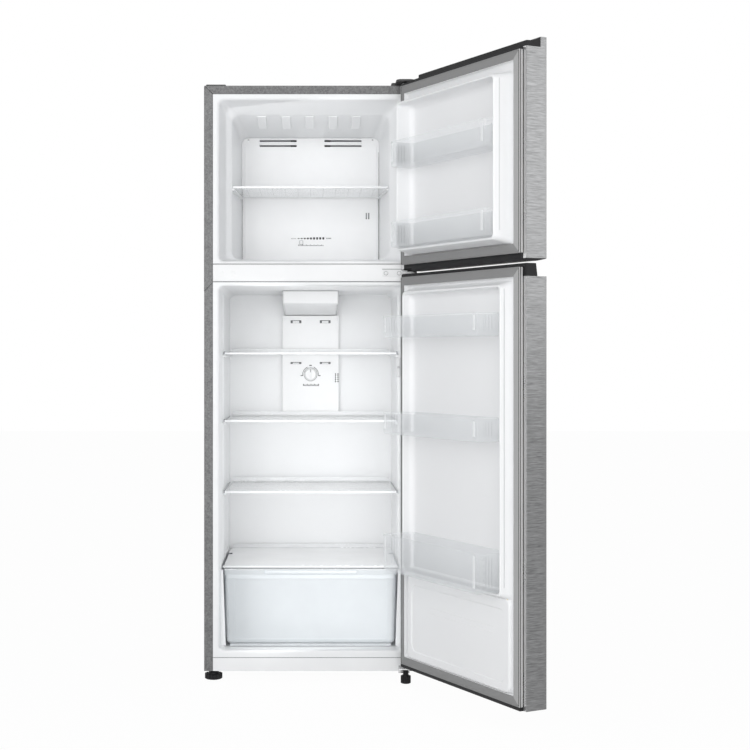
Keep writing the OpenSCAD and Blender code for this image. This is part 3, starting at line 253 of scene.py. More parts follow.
TURNS = {"x": Matrix.Rotation(pi / 2, 4, "Y"), "y": Matrix.Rotation(-pi / 2, 4, "X"), "z": Matrix.Identity(4)}


def rod(bm, axis, at, reach, radius, end_radius=None, edge=0.0, sides=40):
    """A round bar along an axis, from reach[0] to reach[1], through at, the other two coordinates."""
    middle = (reach[0] + reach[1]) / 2
    centre = {"x": (middle, at[0], at[1]), "y": (at[0], middle, at[1]), "z": (at[0], at[1], middle)}[axis]
    made = bmesh.ops.create_cone(bm, cap_ends=True, segments=sides, radius1=radius,
                                 radius2=radius if end_radius is None else end_radius,
                                 depth=reach[1] - reach[0],
                                 matrix=Matrix.Translation(centre) @ TURNS[axis])["verts"]
    if edge:
        rims = [e for e in edges_of(made) if any(len(f.verts) > 4 for f in e.link_faces)]
        rounded(bm, rims, edge, 3)


def outline(bm, plane, at, u, v, radii, steps):
    """A face with rounded corners, upright across Y ("xz") or lying across Z ("xy")."""
    if not isinstance(radii, (list, tuple)):
        radii = [radii] * 4
    places = [(u[0], v[0]), (u[1], v[0]), (u[1], v[1]), (u[0], v[1])]
    corners = [bm.verts.new((a, at, b) if plane == "xz" else (a, b, at)) for a, b in places]
    others = set(bm.faces)
    bm.faces.new(corners)
    for corner, radius in zip(corners, radii):
        rounded(bm, [corner], max(radius, 0.01), steps, "VERTICES")
    return next(f for f in bm.faces if f not in others)


def joined(bm, near, far):
    """Walls between two outlines made alike: each corner of the near one meets its own on the far one."""
    partner = dict(zip(near, far))
    edges = [e for e in edges_of(near) if all(v in partner for v in e.verts)]
    goes_to = {}
    for v in drawn(bm, edges)[0]:
        start = next(e.other_vert(v) for e in v.link_edges if e.other_vert(v) in partner)
        goes_to[v] = partner[start]
    bmesh.ops.weld_verts(bm, targetmap=goes_to)


def lofted(bm, sections, plane="xz", steps=6, start=True, end=True):
    """Walls through rounded outlines, each (at, u, v, radii), with a face at the start and the end."""
    faces = [outline(bm, plane, *section, steps) for section in sections]
    corners = [list(face.verts) for face in faces]
    gone = [f for i, f in enumerate(faces) if (i or not start) and (i < len(faces) - 1 or not end)]
    bmesh.ops.delete(bm, geom=gone, context="FACES_ONLY")
    for near, far in zip(corners, corners[1:]):
        joined(bm, near, far)
    return corners


def pressed(bm, points, axis, reach, edge=0.0, steps=2):
    """A side view drawn out along an axis: points are (y, z) along x, (x, z) along y and (x, y) along z."""
    lift = {"x": lambda a, b: (reach[0], a, b), "y": lambda a, b: (a, reach[0], b),
            "z": lambda a, b: (a, b, reach[0])}[axis]
    face = bm.faces.new([bm.verts.new(lift(a, b)) for a, b in points])
    far = verts_in(bmesh.ops.extrude_face_region(bm, geom=[face])["geom"])
    push = {"x": (1, 0, 0), "y": (0, 1, 0), "z": (0, 0, 1)}[axis]
    bmesh.ops.translate(bm, vec=Vector(push) * (reach[1] - reach[0]), verts=far)
    if edge:
        rounded(bm, edges_of(list(face.verts) + far), edge, steps)


def sunk(bm, x, z, y, depth, material=0):
    """Sinks the rectangle x by z of the flat faces at y by depth, and gives its bottom a material."""
    for across in x:
        scored(bm, flat_at(bm, y), (across, 0, 0), (1, 0, 0))
    for up in z:
        scored(bm, flat_at(bm, y), (0, 0, up), (0, 0, 1))
    inside = []
    for f in flat_at(bm, y):
        middle = f.calc_center_median()
        if x[0] < middle.x < x[1] and z[0] < middle.z < z[1]:
            inside.append(f)
    out = bmesh.ops.extrude_face_region(bm, geom=inside)["geom"]
    bmesh.ops.delete(bm, geom=inside, context="FACES_ONLY")
    bmesh.ops.translate(bm, vec=(0, depth, 0), verts=verts_in(out))
    for g in out:
        if isinstance(g, bmesh.types.BMFace):
            g.material_index = material


def arc(centre, radius, start, stop, steps):
    """Points on an arc, each (height, half width), from one angle to another in degrees."""
    turn = [radians(start + (stop - start) * i / steps) for i in range(steps + 1)]
    return [(centre[0] + radius * sin(a), centre[1] + radius * cos(a)) for a in turn]


def spread_round(centre, radius, count, first=0.0):
    """Places spread evenly round a circle."""
    turns = [2 * pi * (first + i) / count for i in range(count)]
    return [(centre[0] + radius * cos(a), centre[1] + radius * sin(a)) for a in turns]


def screw(bm, axis, at, face, out, radius, rise):
    """A pan head with a socket, on a face; out is -1 or 1, the way it stands off."""
    rod(bm, axis, at, sorted((face - out * 0.3, face + out * rise)), radius, edge=rise * 0.35, sides=28)
    socket = sorted((face + out * rise * 0.7, face + out * (rise + 0.1)))
    rod(bm, axis, at, socket, radius * 0.42, sides=6)


def both_sides(bm, make):
    """Calls make for the right side, then mirrors what it made to the left."""
    before = set(bm.verts)
    make()
    made = [v for v in bm.verts if v not in before]
    faces = list({f for v in made for f in v.link_faces})
    copy = bmesh.ops.duplicate(bm, geom=made + edges_of(made) + faces)["geom"]
    bmesh.ops.scale(bm, vec=(-1, 1, 1), verts=verts_in(copy))
    bmesh.ops.reverse_faces(bm, faces=[g for g in copy if isinstance(g, bmesh.types.BMFace)])


def piece(name, bm, materials, body="cabinet", place=CABINET, replaced=(), sheet=0.0, inside=None,
          sharp=34):
    """Makes an object of the mesh, puts it in its place, and lets it ride on a body.
    An open sheet faces away from the point inside, or towards it where sheet is negative."""
    bmesh.ops.remove_doubles(bm, verts=bm.verts, dist=0.001)
    bmesh.ops.recalc_face_normals(bm, faces=bm.faces)
    if inside:
        away = sum((f.calc_center_median() - Vector(inside)).dot(f.normal) * f.calc_area() for f in bm.faces)
        if (away > 0) != (sheet > 0):
            bmesh.ops.reverse_faces(bm, faces=bm.faces)
    mesh = bpy.data.meshes.new(name)
    bm.to_mesh(mesh)
    bm.free()
    mesh.transform(place)
    mesh.shade_smooth()
    mesh.set_sharp_from_angle(angle=radians(sharp))
    for material in materials if isinstance(materials, (list, tuple)) else [materials]:
        mesh.materials.append(material)
    made = bpy.data.objects.new(name, mesh)
    bpy.context.scene.collection.objects.link(made)
    if sheet:
        wall = made.modifiers.new("Sheet", "SOLIDIFY")
        wall.thickness = abs(sheet) * MM
        wall.offset = -1
    made.modifiers.new("Even shading", "WEIGHTED_NORMAL").keep_sharp = True
    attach(made, body)
    if replaced:
        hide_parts(*replaced)


# ---- Finishes ----

def socket_group(name, inputs, outputs):
    """A shader node group with these sockets, each (name, kind, default)."""
    tree = bpy.data.node_groups.new(name, "ShaderNodeTree")
    for label, kind, default in inputs:
        made = tree.interface.new_socket(name=label, in_out="INPUT", socket_type="NodeSocket" + kind)
        if default is not None:
            made.default_value = default
    for label, kind in outputs:
        tree.interface.new_socket(name=label, in_out="OUTPUT", socket_type="NodeSocket" + kind)
    return tree, tree.nodes.new("NodeGroupInput"), tree.nodes.new("NodeGroupOutput")


def maths(tree, operation, a, b, clamp=False):
    """One math node; a and b are sockets or numbers."""
    node = tree.nodes.new("ShaderNodeMath")
    node.operation = operation
    node.use_clamp = clamp
    for socket, value in zip(node.inputs, (a, b)):
        if isinstance(value, (int, float)):
            socket.default_value = value
        else:
            tree.links.new(value, socket)
    return node.outputs[0]


def grain_group():
    """Fine variation of colour, roughness and height, over a coarser cloud of the same."""
    tree, given, out = socket_group("Surface grain", [
        ("Vector", "Vector", None), ("Color", "Color", (0.8, 0.8, 0.8, 1)), ("Size", "Float", 0.002),
        ("Color spread", "Float", 0.05), ("Roughness", "Float", 0.4), ("Roughness spread", "Float", 0.05),
        ("Cloud size", "Float", 0.08), ("Cloud", "Float", 0.02)],
        [("Color", "Color"), ("Roughness", "Float"), ("Height", "Float")])
    contrast = 4.0
    noises = []
    for label, detail in (("Size", 5), ("Cloud size", 2)):
        noise = tree.nodes.new("ShaderNodeTexNoise")
        noise.inputs["Detail"].default_value = detail
        noise.inputs["Roughness"].default_value = 0.6
        tree.links.new(given.outputs["Vector"], noise.inputs["Vector"])
        tree.links.new(maths(tree, "DIVIDE", 1.0, given.outputs[label]), noise.inputs["Scale"])
        noises.append(maths(tree, "MULTIPLY", maths(tree, "SUBTRACT", noise.outputs["Fac"], 0.5), contrast))
    fine, cloud = noises
    change = maths(tree, "ADD", maths(tree, "MULTIPLY", fine, given.outputs["Color spread"]),
                   maths(tree, "MULTIPLY", cloud, given.outputs["Cloud"]))
    tint = tree.nodes.new("ShaderNodeVectorMath")
    tint.operation = "SCALE"
    tree.links.new(given.outputs["Color"], tint.inputs[0])
    tree.links.new(maths(tree, "ADD", change, 1.0), tint.inputs["Scale"])
    tree.links.new(tint.outputs["Vector"], out.inputs["Color"])
    uneven = maths(tree, "MULTIPLY", maths(tree, "ADD", fine, cloud), given.outputs["Roughness spread"])
    rough = maths(tree, "ADD", uneven, given.outputs["Roughness"], clamp=True)
    tree.links.new(rough, out.inputs["Roughness"])
    tree.links.new(fine, out.inputs["Height"])
    return tree


GRAIN = grain_group()


def finish(name, color, roughness, size=0.002, spread=0.03, rough_spread=0.04, cloud=0.02, cloud_size=0.09,
           height=0.00002, stretch=(1, 1, 1), **sockets):
    """A material whose colour, roughness and height vary over the surface by the grain group.
    sockets are set on the shader itself, such as Metallic=1."""
    material = bpy.data.materials.new(name)
    material.use_nodes = True
    tree = material.node_tree
    shader = tree.nodes["Principled BSDF"]
    for label, value in sockets.items():
        shader.inputs[label.replace("_", " ")].default_value = value
    coords = tree.nodes.new("ShaderNodeTexCoord")
    mapping = tree.nodes.new("ShaderNodeMapping")
    mapping.inputs["Scale"].default_value = stretch
    grain = tree.nodes.new("ShaderNodeGroup")
    grain.node_tree = GRAIN
    given = {"Color": (*color, 1), "Size": size, "Color spread": spread, "Roughness": roughness,
             "Roughness spread": rough_spread, "Cloud size": cloud_size, "Cloud": cloud}
    for label, value in given.items():
        grain.inputs[label].default_value = value
    tree.links.new(coords.outputs["Object"], mapping.inputs["Vector"])
    tree.links.new(mapping.outputs["Vector"], grain.inputs["Vector"])
    tree.links.new(grain.outputs["Color"], shader.inputs["Base Color"])
    tree.links.new(grain.outputs["Roughness"], shader.inputs["Roughness"])
    bump = tree.nodes.new("ShaderNodeBump")
    bump.inputs["Distance"].default_value = height
    tree.links.new(grain.outputs["Height"], bump.inputs["Height"])
    tree.links.new(bump.outputs["Normal"], shader.inputs["Normal"])
    return material


def clear(name, color, roughness, square_on, edge_on, **settings):
    """A see-through finish: thin where it is looked at squarely, denser along its surface."""
    material = finish(name, color, roughness, **settings)
    tree = material.node_tree
    weight = tree.nodes.new("ShaderNodeLayerWeight")
    weight.inputs["Blend"].default_value = 0.3
    slant = maths(tree, "MULTIPLY", weight.outputs["Facing"], edge_on - square_on)
    density = maths(tree, "ADD", slant, square_on, clamp=True)
    tree.links.new(density, tree.nodes["Principled BSDF"].inputs["Alpha"])
    return material


# Painted and bare metal, with a lighter copy of the door steel as painted highlight on the hems
casing_paint = finish("Speckled grey casing paint", (0.14, 0.141, 0.142), 0.46, size=0.0042, spread=0.55,
                      rough_spread=0.03, cloud=0.012, height=0.0001, Metallic=0.3)
door_steel = finish("Brushed door steel", (0.205, 0.207, 0.209), 0.34, size=0.0016, spread=0.5,
                    rough_spread=0.05, cloud=0.03, cloud_size=0.006, height=0.00003,
                    stretch=(0.06, 0.06, 1), Metallic=0.9)
hem_painted_highlight = finish("Door hem, painted highlight", (0.72, 0.722, 0.725), 0.3, size=0.003, spread=0.04, Metallic=0.85)
zinc = finish("Zinc plated hinge steel", (0.6, 0.605, 0.61), 0.3, size=0.004, spread=0.06,
              rough_spread=0.08, height=0.00003, Metallic=1.0)
hinge_white = finish("Painted hinge plate", (0.78, 0.785, 0.79), 0.35, size=0.002, spread=0.01,
                     height=0.00002)
screw_steel = finish("Screw steel", (0.42, 0.425, 0.43), 0.32, size=0.002, spread=0.06, Metallic=1.0)
galvanised = finish("Galvanised rear sheet", (0.42, 0.43, 0.44), 0.42, size=0.03, spread=0.08,
                    rough_spread=0.06, cloud=0.05, cloud_size=0.2, height=0.00005, Metallic=0.85)
coil_aluminium = finish("Fin aluminium", (0.7, 0.71, 0.72), 0.35, Metallic=1.0)
copper = finish("Copper tube", (0.6, 0.3, 0.19), 0.35, size=0.01, spread=0.1, Metallic=1.0)
black_enamel = finish("Black enamel", (0.012, 0.012, 0.013), 0.3, size=0.004, spread=0.1, height=0.00005)

# White mouldings, the painted rail, the printed marks (whose black also paints shadow) and a moulded line's
# painted shade
liner_white = finish("Vacuum formed white liner", (0.848, 0.856, 0.864), 0.36, size=0.006, spread=0.003,
                     rough_spread=0.02, cloud=0.003, height=0.000004)
door_white = finish("Door liner white", (0.86, 0.865, 0.872), 0.5, size=0.006, spread=0.003,
                    rough_spread=0.02, cloud=0.003, height=0.000004)
moulded_line_shade = finish("Painted shade of a moulded line", (0.68, 0.685, 0.69), 0.5)
rail_white = finish("Painted rail white", (0.85, 0.855, 0.86), 0.4, size=0.002, spread=0.004,
                    height=0.00001)
cover_white = finish("Moulded cover white", (0.875, 0.88, 0.885), 0.42, size=0.0015, spread=0.005,
                     rough_spread=0.04, height=0.00001)
hood_white = finish("Lamp hood white", (0.72, 0.725, 0.73), 0.45, size=0.006, spread=0.003,
                    height=0.000004)
knob_white = finish("Knob white", (0.84, 0.845, 0.85), 0.3, size=0.002, spread=0.005)
button_grey = finish("Switch button", (0.6, 0.61, 0.62), 0.35)
print_and_shadow_black = finish("Printed marks and painted shadow", (0.012, 0.013, 0.014), 0.6, Specular_IOR_Level=0.2)

# Rubber, dark plastics, painted shadows and painted highlights
gasket_grey = finish("Gasket rubber", (0.235, 0.235, 0.235), 0.5, size=0.004, spread=0.04, height=0.00003)
gasket_head_painted_light = finish("Gasket head, painted light", (0.37, 0.37, 0.37), 0.55, size=0.003, spread=0.03, height=0.0001)
gasket_ridge_highlight = finish("Gasket ridges, painted highlight", (0.5, 0.5, 0.5), 0.4, size=0.004, spread=0.03, height=0.00002)
painted_shadow_dark = finish("Painted dark shadow", (0.10, 0.105, 0.11), 0.7)
slot_dark = finish("Slot shadow", (0.2, 0.205, 0.215), 0.7)
painted_groove_shadow = finish("Groove shadow", (0.012, 0.012, 0.012), 0.8, Specular_IOR_Level=0.1)
painted_shadow_grey = finish("Painted shadow strip", (0.09, 0.095, 0.11), 0.5)
glass_edge_and_shadow = finish("Glass edge and painted shadow", (0.2, 0.22, 0.235), 0.25)
black_plastic = finish("Textured black plastic", (0.012, 0.012, 0.013), 0.5, size=0.0012, spread=0.15,
                       rough_spread=0.08, height=0.00006, Specular_IOR_Level=0.2)
cap_plastic = finish("Door cap plastic", (0.012, 0.012, 0.013), 0.45, size=0.0012, spread=0.12,
                     height=0.00004, Specular_IOR_Level=0.18)
cover_grey = finish("Hinge cover plastic", (0.06, 0.06, 0.06), 0.45, size=0.0012, spread=0.1,
                    height=0.00004, Specular_IOR_Level=0.25)
motor_grey = finish("Fan motor plastic", (0.05, 0.05, 0.055), 0.5)
foam_tan = finish("Rigid foam", (0.72, 0.6, 0.34), 0.9, size=0.006, spread=0.08, height=0.0004)
heater_glass = finish("Heater tube", (0.8, 0.78, 0.72), 0.15, Transmission_Weight=0.7)

# See-through plastics and glass; the frosted trim also gives the bins' corners a painted highlight
bin_clear = clear("Pale blue clear plastic", (0.93, 0.955, 0.975), 0.12, 0.08, 0.45, size=0.03, spread=0.01,
                  rough_spread=0.02, height=0.00001)
drawer_clear = clear("Drawer plastic", (0.85, 0.885, 0.91), 0.14, 0.4, 0.82, size=0.03, spread=0.01,
                     rough_spread=0.02, height=0.00001)
frosted_trim_and_highlight = clear("Frosted trim and painted highlight", (0.93, 0.94, 0.95), 0.25, 0.8, 0.95, size=0.01, spread=0.01)
shelf_glass = clear("Shelf glass", (0.93, 0.955, 0.955), 0.06, 0.06, 0.3, size=0.05, spread=0.003,
                    rough_spread=0.005, height=0.000002)
cover_frost = clear("Frosted crisper glass", (0.95, 0.955, 0.96), 0.16, 0.7, 1.1, size=0.05, spread=0.003,
                    rough_spread=0.01)
freezer_clear = clear("Freezer shelf plastic", (0.93, 0.945, 0.955), 0.15, 0.2, 0.5, size=0.02, spread=0.01)


# ---- Camera, light and surroundings ----

scene = bpy.context.scene
scene.view_settings.view_transform = "Standard"


def camera():
    """Level, straight towards the cabinet's front, with the lens shifted to place it in the frame."""
    distance = 3.770
    height = 0.8476
    data = bpy.data.cameras.new("Camera")
    data.sensor_width = 36
    data.lens = 70.11
    data.shift_x = 0.0859
    data.shift_y = -0.0300
    data.clip_end = 50
    made = bpy.data.objects.new("Camera", data)
    made.location = CABINET @ Vector((0, -distance / MM, height / MM))
    made.rotation_euler = (pi / 2, 0, 0)
    scene.collection.objects.link(made)
    scene.camera = made


def lamp(name, place, target, width, height, power):
    """An even rectangle of light, in metres and watts, turned towards its target."""
    data = bpy.data.lights.new(name, "AREA")
    data.shape = "RECTANGLE"
    data.size = width
    data.size_y = height
    data.energy = power
    made = bpy.data.objects.new(name, data)
    made.location = place
    made.rotation_euler = (Vector(target) - Vector(place)).to_track_quat("-Z", "Y").to_euler()
    made.visible_camera = False
    scene.collection.objects.link(made)


def seen_or_light(tree, seen, light):
    """Mixes two shaders by what looks: camera, glossy and transmission rays get the first."""
    path = tree.nodes.new("ShaderNodeLightPath")
    mix = tree.nodes.new("ShaderNodeMixShader")
    looks = maths(tree, "MAXIMUM", path.outputs["Is Camera Ray"],
                  maths(tree, "MAXIMUM", path.outputs["Is Glossy Ray"], path.outputs["Is Transmission Ray"]))
    tree.links.new(looks, mix.inputs["Fac"])
    tree.links.new(light, mix.inputs[1])
    tree.links.new(seen, mix.inputs[2])
    return mix.outputs["Shader"]


def studio_world():
    """White to look at, and an even pale light."""
    world = bpy.data.worlds.new("Studio")
    scene.world = world
    world.use_nodes = True
    tree = world.node_tree
    tree.nodes.clear()
    shades = []
    for color, strength in (((1, 1, 1, 1), 1.0), ((0.975, 0.985, 1.0, 1), 0.49)):
        shade = tree.nodes.new("ShaderNodeBackground")
        shade.inputs["Color"].default_value = color
        shade.inputs["Strength"].default_value = strength
        shades.append(shade.outputs[0])
    out = tree.nodes.new("ShaderNodeOutputWorld")
    tree.links.new(seen_or_light(tree, *shades), out.inputs["Surface"])


def studio_floor():
    """A floor that looks white but for a faint shadow, and lights the cabinet as a pale floor does."""
    half_side = 12
    whiteness = 0.97
    bm = bmesh.new()
    bmesh.ops.create_grid(bm, x_segments=1, y_segments=1, size=half_side)
    mesh = bpy.data.meshes.new("Floor")
    bm.to_mesh(mesh)
    bm.free()
    material = bpy.data.materials.new("Pale studio floor")
    material.use_nodes = True
    tree = material.node_tree
    shader = tree.nodes["Principled BSDF"]
    shader.inputs["Base Color"].default_value = (0.8, 0.8, 0.8, 1)
    shader.inputs["Roughness"].default_value = 0.9
    white = tree.nodes.new("ShaderNodeEmission")
    white.inputs["Strength"].default_value = 1.0
    share = tree.nodes.new("ShaderNodeMixShader")
    share.inputs["Fac"].default_value = whiteness
    tree.links.new(shader.outputs[0], share.inputs[1])
    tree.links.new(white.outputs[0], share.inputs[2])
    tree.links.new(seen_or_light(tree, share.outputs[0], shader.outputs[0]),
                   tree.nodes["Material Output"].inputs["Surface"])
    mesh.materials.append(material)
    floor = bpy.data.objects.new("Floor", mesh)
    scene.collection.objects.link(floor)


camera()
studio_world()
studio_floor()
lamp("Front left softbox", (-1.7, -3.1, 1.7), (0.1, 0.1, 0.8), width=1.6, height=2.2, power=23)
lamp("Right softbox", (2.5, -1.6, 1.62), (0.35, -0.4, 1.1), width=1.2, height=1.5, power=12)
lamp("Front softbox", (-0.1, -3.4, 1.1), (-0.1, 0.3, 0.8), width=2.4, height=2.4, power=44)

# Each compartment has its own even light, just inside its opening, turned a little to one side
for label, heights, shift, power in (("Freezer compartment light", freezer_z, 36, 0.17),
                                     ("Lower compartment light", fridge_z, -24, 0.84)):
    middle = (heights[0] + heights[1]) / 2
    lamp(label, CABINET @ Vector((-shift, 4, middle)), CABINET @ Vector((shift, 300, middle)),
         width=2 * (open_half - 45) * MM, height=(heights[1] - heights[0] - 16) * MM, power=power)


# ---- Cabinet ----

def casing():
    """Sheet steel wrapped over both sides and the top, folded into front flanges that meet in mitres."""
    bm = bmesh.new()
    side_x = half - 0.25
    corners = [(-side_x, shell_z[0]), (-side_x, shell_z[1]), (side_x, shell_z[1]), (side_x, shell_z[0])]
    verts = [bm.verts.new((x, 0, z)) for x, z in corners]
    for pair in zip(verts, verts[1:]):
        bm.edges.new(pair)
    rounded(bm, verts[1:3], 2.5, 3, "VERTICES")
    front = list(bm.edges)
    drawn(bm, front, (0, back_y, 0))

    # The flange and its return lip
    flange, inner = drawn(bm, front)
    for v in flange:
        v.co.x = max(-flange_x, min(flange_x, v.co.x))
        v.co.z = min(flange_z, v.co.z)
    drawn(bm, inner, (0, flange_lip, 0))
    bmesh.ops.remove_doubles(bm, verts=bm.verts, dist=0.01)

    # The mitres: a narrow flat strip from corner to corner, painted black as the groove's shadow
    gap = 0.55
    for side in (-1, 1):
        corner = Vector((side * half, 0, shell_z[1]))
        along = (Vector((side * flange_x, 0, flange_z)) - corner).normalized()
        normal = Vector((-along.z, 0, along.x))
        for shift in (-gap, gap):
            scored(bm, flat_at(bm, 0), corner + normal * shift, normal)
        for f in flat_at(bm, 0):
            if abs((f.calc_center_median() - corner).dot(normal)) < gap * 0.9:
                f.material_index = 1
    folds = [e for e in bm.edges if len(e.link_faces) == 2 and all(abs(v.co.y) < 0.01 for v in e.verts)
             and abs(e.link_faces[0].normal.dot(e.link_faces[1].normal)) < 0.5]
    rounded(bm, folds, 1.2, 3)
    piece("casing", bm, [casing_paint, painted_groove_shadow], replaced=["cabinet_shell"],
          sheet=steel_t, inside=(0, back_y / 2, 700))


def rails():
    """The painted centre rail and the plinth strip, with painted shadow in the gaps above and below, and two
    plug caps.
    """
    gap = 1.0
    face_x = (-flange_x + 0.2, flange_x - 0.2)
    bm = bmesh.new()
    block(bm, face_x, (-0.4, 6), (rail_z[0] + gap, rail_z[1] - gap), edge=0.8, steps=3)
    piece("centre_rail_face", bm, rail_white, replaced=["centre_rail"])
    bm = bmesh.new()
    block(bm, face_x, (-0.2, 6), (plinth_z[0], plinth_z[1] - gap), edge=0.8, steps=3)
    piece("plinth_face", bm, rail_white, replaced=["plinth_strip"])
    bm = bmesh.new()
    # Dark blocks behind the gaps above and below the rail and above the plinth strip: painted shadow
    for z in (rail_z[0], rail_z[1], plinth_z[1]):
        block(bm, (-flange_x + 0.4, flange_x - 0.4), (1.4, 5), (z - 1.6, z + 1.2))
    piece("rail_gap_shadows", bm, painted_shadow_dark)

    plug_z = (rail_z[0] + rail_z[1]) / 2
    bm = bmesh.new()
    for from_edge in (46, 75):
        at = (from_edge - half, plug_z)
        rod(bm, "y", at, (-1.6, 1), 4.8, end_radius=5, edge=0.7)
        rod(bm, "y", at, (-1.9, -1.4), 2.0, edge=0.2, sides=6)
    piece("plug_caps", bm, rail_white, replaced=["rail_plugs"])


def mouth_sections(rim, half_at, low_at, top_at, depths, radii):
    """Outlines of a liner from its rim, over a rounded lip, and back through the given depths."""
    across = (-flange_x + 0.3, flange_x - 0.3)
    lip_d = 0.15
    turns = 5
    sections = [(3.0, across, rim, 0.5), (lip_d, across, rim, 0.5)]
    for step in range(turns + 1):
        turn = pi / 2 * step / turns
        depth = lip_d + lip_r * (1 - cos(turn))
        growth = lip_r * (1 - sin(turn))
        reach = half_at(depth) + growth
        sections.append((depth, (-reach, reach), (low_at(depth) - growth, top_at(depth) + growth),
                         opening_r + growth))
    for depth, r in zip(depths, radii):
        sections.append((depth, (-half_at(depth), half_at(depth)), (low_at(depth), top_at(depth)), r))
    return sections


def freezer_liner():
    """Vacuum formed: a flared mouth, softened where the walls turn, with pads and shelf ledges."""
    bm = bmesh.new()
    soft = 9
    depths = [throat_d - soft, throat_d - 3, throat_d + 3, throat_d + soft, 140, 230, cover_d - 16, liner_d]
    radii = [19, 20, 20, 20, 20, 20, 20, 20]
    rim = (rail_z[1] + 1.0, flange_z - 0.3)
    lofted(bm, mouth_sections(rim, freezer_half, freezer_low, freezer_top, depths, radii), start=False)
    piece("freezer_inner_liner", bm, liner_white, replaced=["freezer_liner"], sheet=-wall_t,
          inside=(0, 200, (freezer_z[0] + freezer_z[1]) / 2))

    # Pads along the ceiling: nearly flush at the front, hanging lower at the back
    bm = bmesh.new()
    near, far = 98, 192
    top = (freezer_top(near), freezer_top(far))
    pad = [(near - 1, top[0] + 2), (near, top[0] - 1.6), (near + 3, top[0] - 2.6), (far - 4, top[1] - 11),
           (far, top[1] - 8), (far + 1, top[1] + 2)]
    for x in (-130, -65, -3, 60, 121):
        pressed(bm, pad, "x", (x - 12, x + 12), edge=1.4, steps=3)
    piece("ceiling_pads", bm, liner_white)

    # Slim ledges that carry the shelf, and a fine flute beside the cover
    bm = bmesh.new()
    shelf_low = span("freezer_shelf")[2][0]
    y = (throat_d + 6, cover_d - 10)

    def ledge():
        pressed(bm, wall_strip(freezer_half, y, 6), "z", (shelf_low - 4.5, shelf_low - 0.3), edge=1.2,
                steps=3)
        rod(bm, "z", (cover_x[1] - 7, cover_d + 0.8), (cover_z[0] + 20, cover_z[1] - 24), 2, edge=0.5,
            sides=20)

    both_sides(bm, ledge)
    piece("freezer_ledges", bm, liner_white)


def back_cover():
    """The cover over the evaporator: two pairs of slots, two slits and the control's shallow slot."""
    cover_half = cover_x[1]
    y = cover_d
    slot_drops = (10.7, 24.7)
    slits_x = (155, 162)
    slit_low = freezer_z[0] + 138
    bm = bmesh.new()
    outline(bm, "xz", y, (-cover_half, cover_half), cover_z, 18, 6)
    for x in ((-143, -39), (39, 143)):
        for drop in slot_drops:
            sunk(bm, x, (cover_z[1] - drop, cover_z[1] - drop + 5.5), y, 7, material=1)
    for x in slits_x:
        sunk(bm, (x, x + 3), (slit_low, slit_low + 18), y, 6, material=1)
    sunk(bm, (-36, 36), (freezer_z[0] + 68, freezer_z[0] + 76), y, 0.8)
    drawn(bm, rim_of(bm), (0, 3, 0))
    piece("evaporator_cover", bm, [cover_white, slot_dark], replaced=["freezer_back_cover"],
          sheet=steel_t, inside=(0, liner_d, 1290))

    # Painted shadow in the joints beside the cover: thin dark strips
    bm = bmesh.new()
    joint_x = cover_half - 1.4
    joint_y = (y - 0.3, y + 1)
    low_z = (cover_z[0] + 16, cover_z[1] - 150)
    block(bm, (joint_x - 0.9, joint_x + 0.5), joint_y, low_z)
    block(bm, (joint_x - 0.5, joint_x + 0.2), joint_y, (cover_z[1] - 151, cover_z[1] - 40))
    block(bm, (-joint_x - 0.2, -joint_x + 0.5), joint_y, low_z)
    piece("cover_gap_shadows", bm, painted_shadow_dark)

    # Painted shade at the slots' inner ends: near-black blocks deep inside them
    bm = bmesh.new()
    for x in ((-56, -40), (40, 56)):
        for drop in slot_drops:
            block(bm, x, (y + 3.5, y + 6), (cover_z[1] - drop + 0.3, cover_z[1] - drop + 5.2), edge=0.5)
    for x in slits_x:
        block(bm, (x + 0.3, x + 2.7), (y + 3.5, y + 5), (slit_low + 1, slit_low + 4), edge=0.3)
    piece("slot_end_shadows", bm, print_and_shadow_black)
    bm = bmesh.new()
    for x in (-174, 174):
        screw(bm, "y", (x, cover_z[1] - 5), y, -1, 2.4, 1.0)
    piece("cover_screws", bm, screw_steel)


def freezer_scale():
    """Printed round the freezer's control: growing bars, four marks at each end, and a row of ticks."""
    flat = (cover_d - 0.3, cover_d + 0.1)
    low = freezer_z[0] + 83.5
    pitch = 3.6
    bm = bmesh.new()

    def mark(middle, half_width, bottom, top):
        block(bm, (middle - half_width, middle + half_width), flat, (bottom, top))

    for i in range(9):
        tall = 2.2 + 4.0 * min(i / 5, 1)
        mark(-33.6 + 8.66 * i, 2.5, low - tall * 0.4, low + tall * 0.6)
    for side in (-1, 1):
        for i in range(4):
            mark(1.6 + side * (44 + pitch * i), 0.9, low - 1, low + 1.4 + side * 0.8)
    for i in range(20):
        mark(-33.5 + pitch * i, 0.9, low - 20.6, low - 18.2 + 1.2 * (i % 3 == 0))
    piece("freezer_scale", bm, print_and_shadow_black)


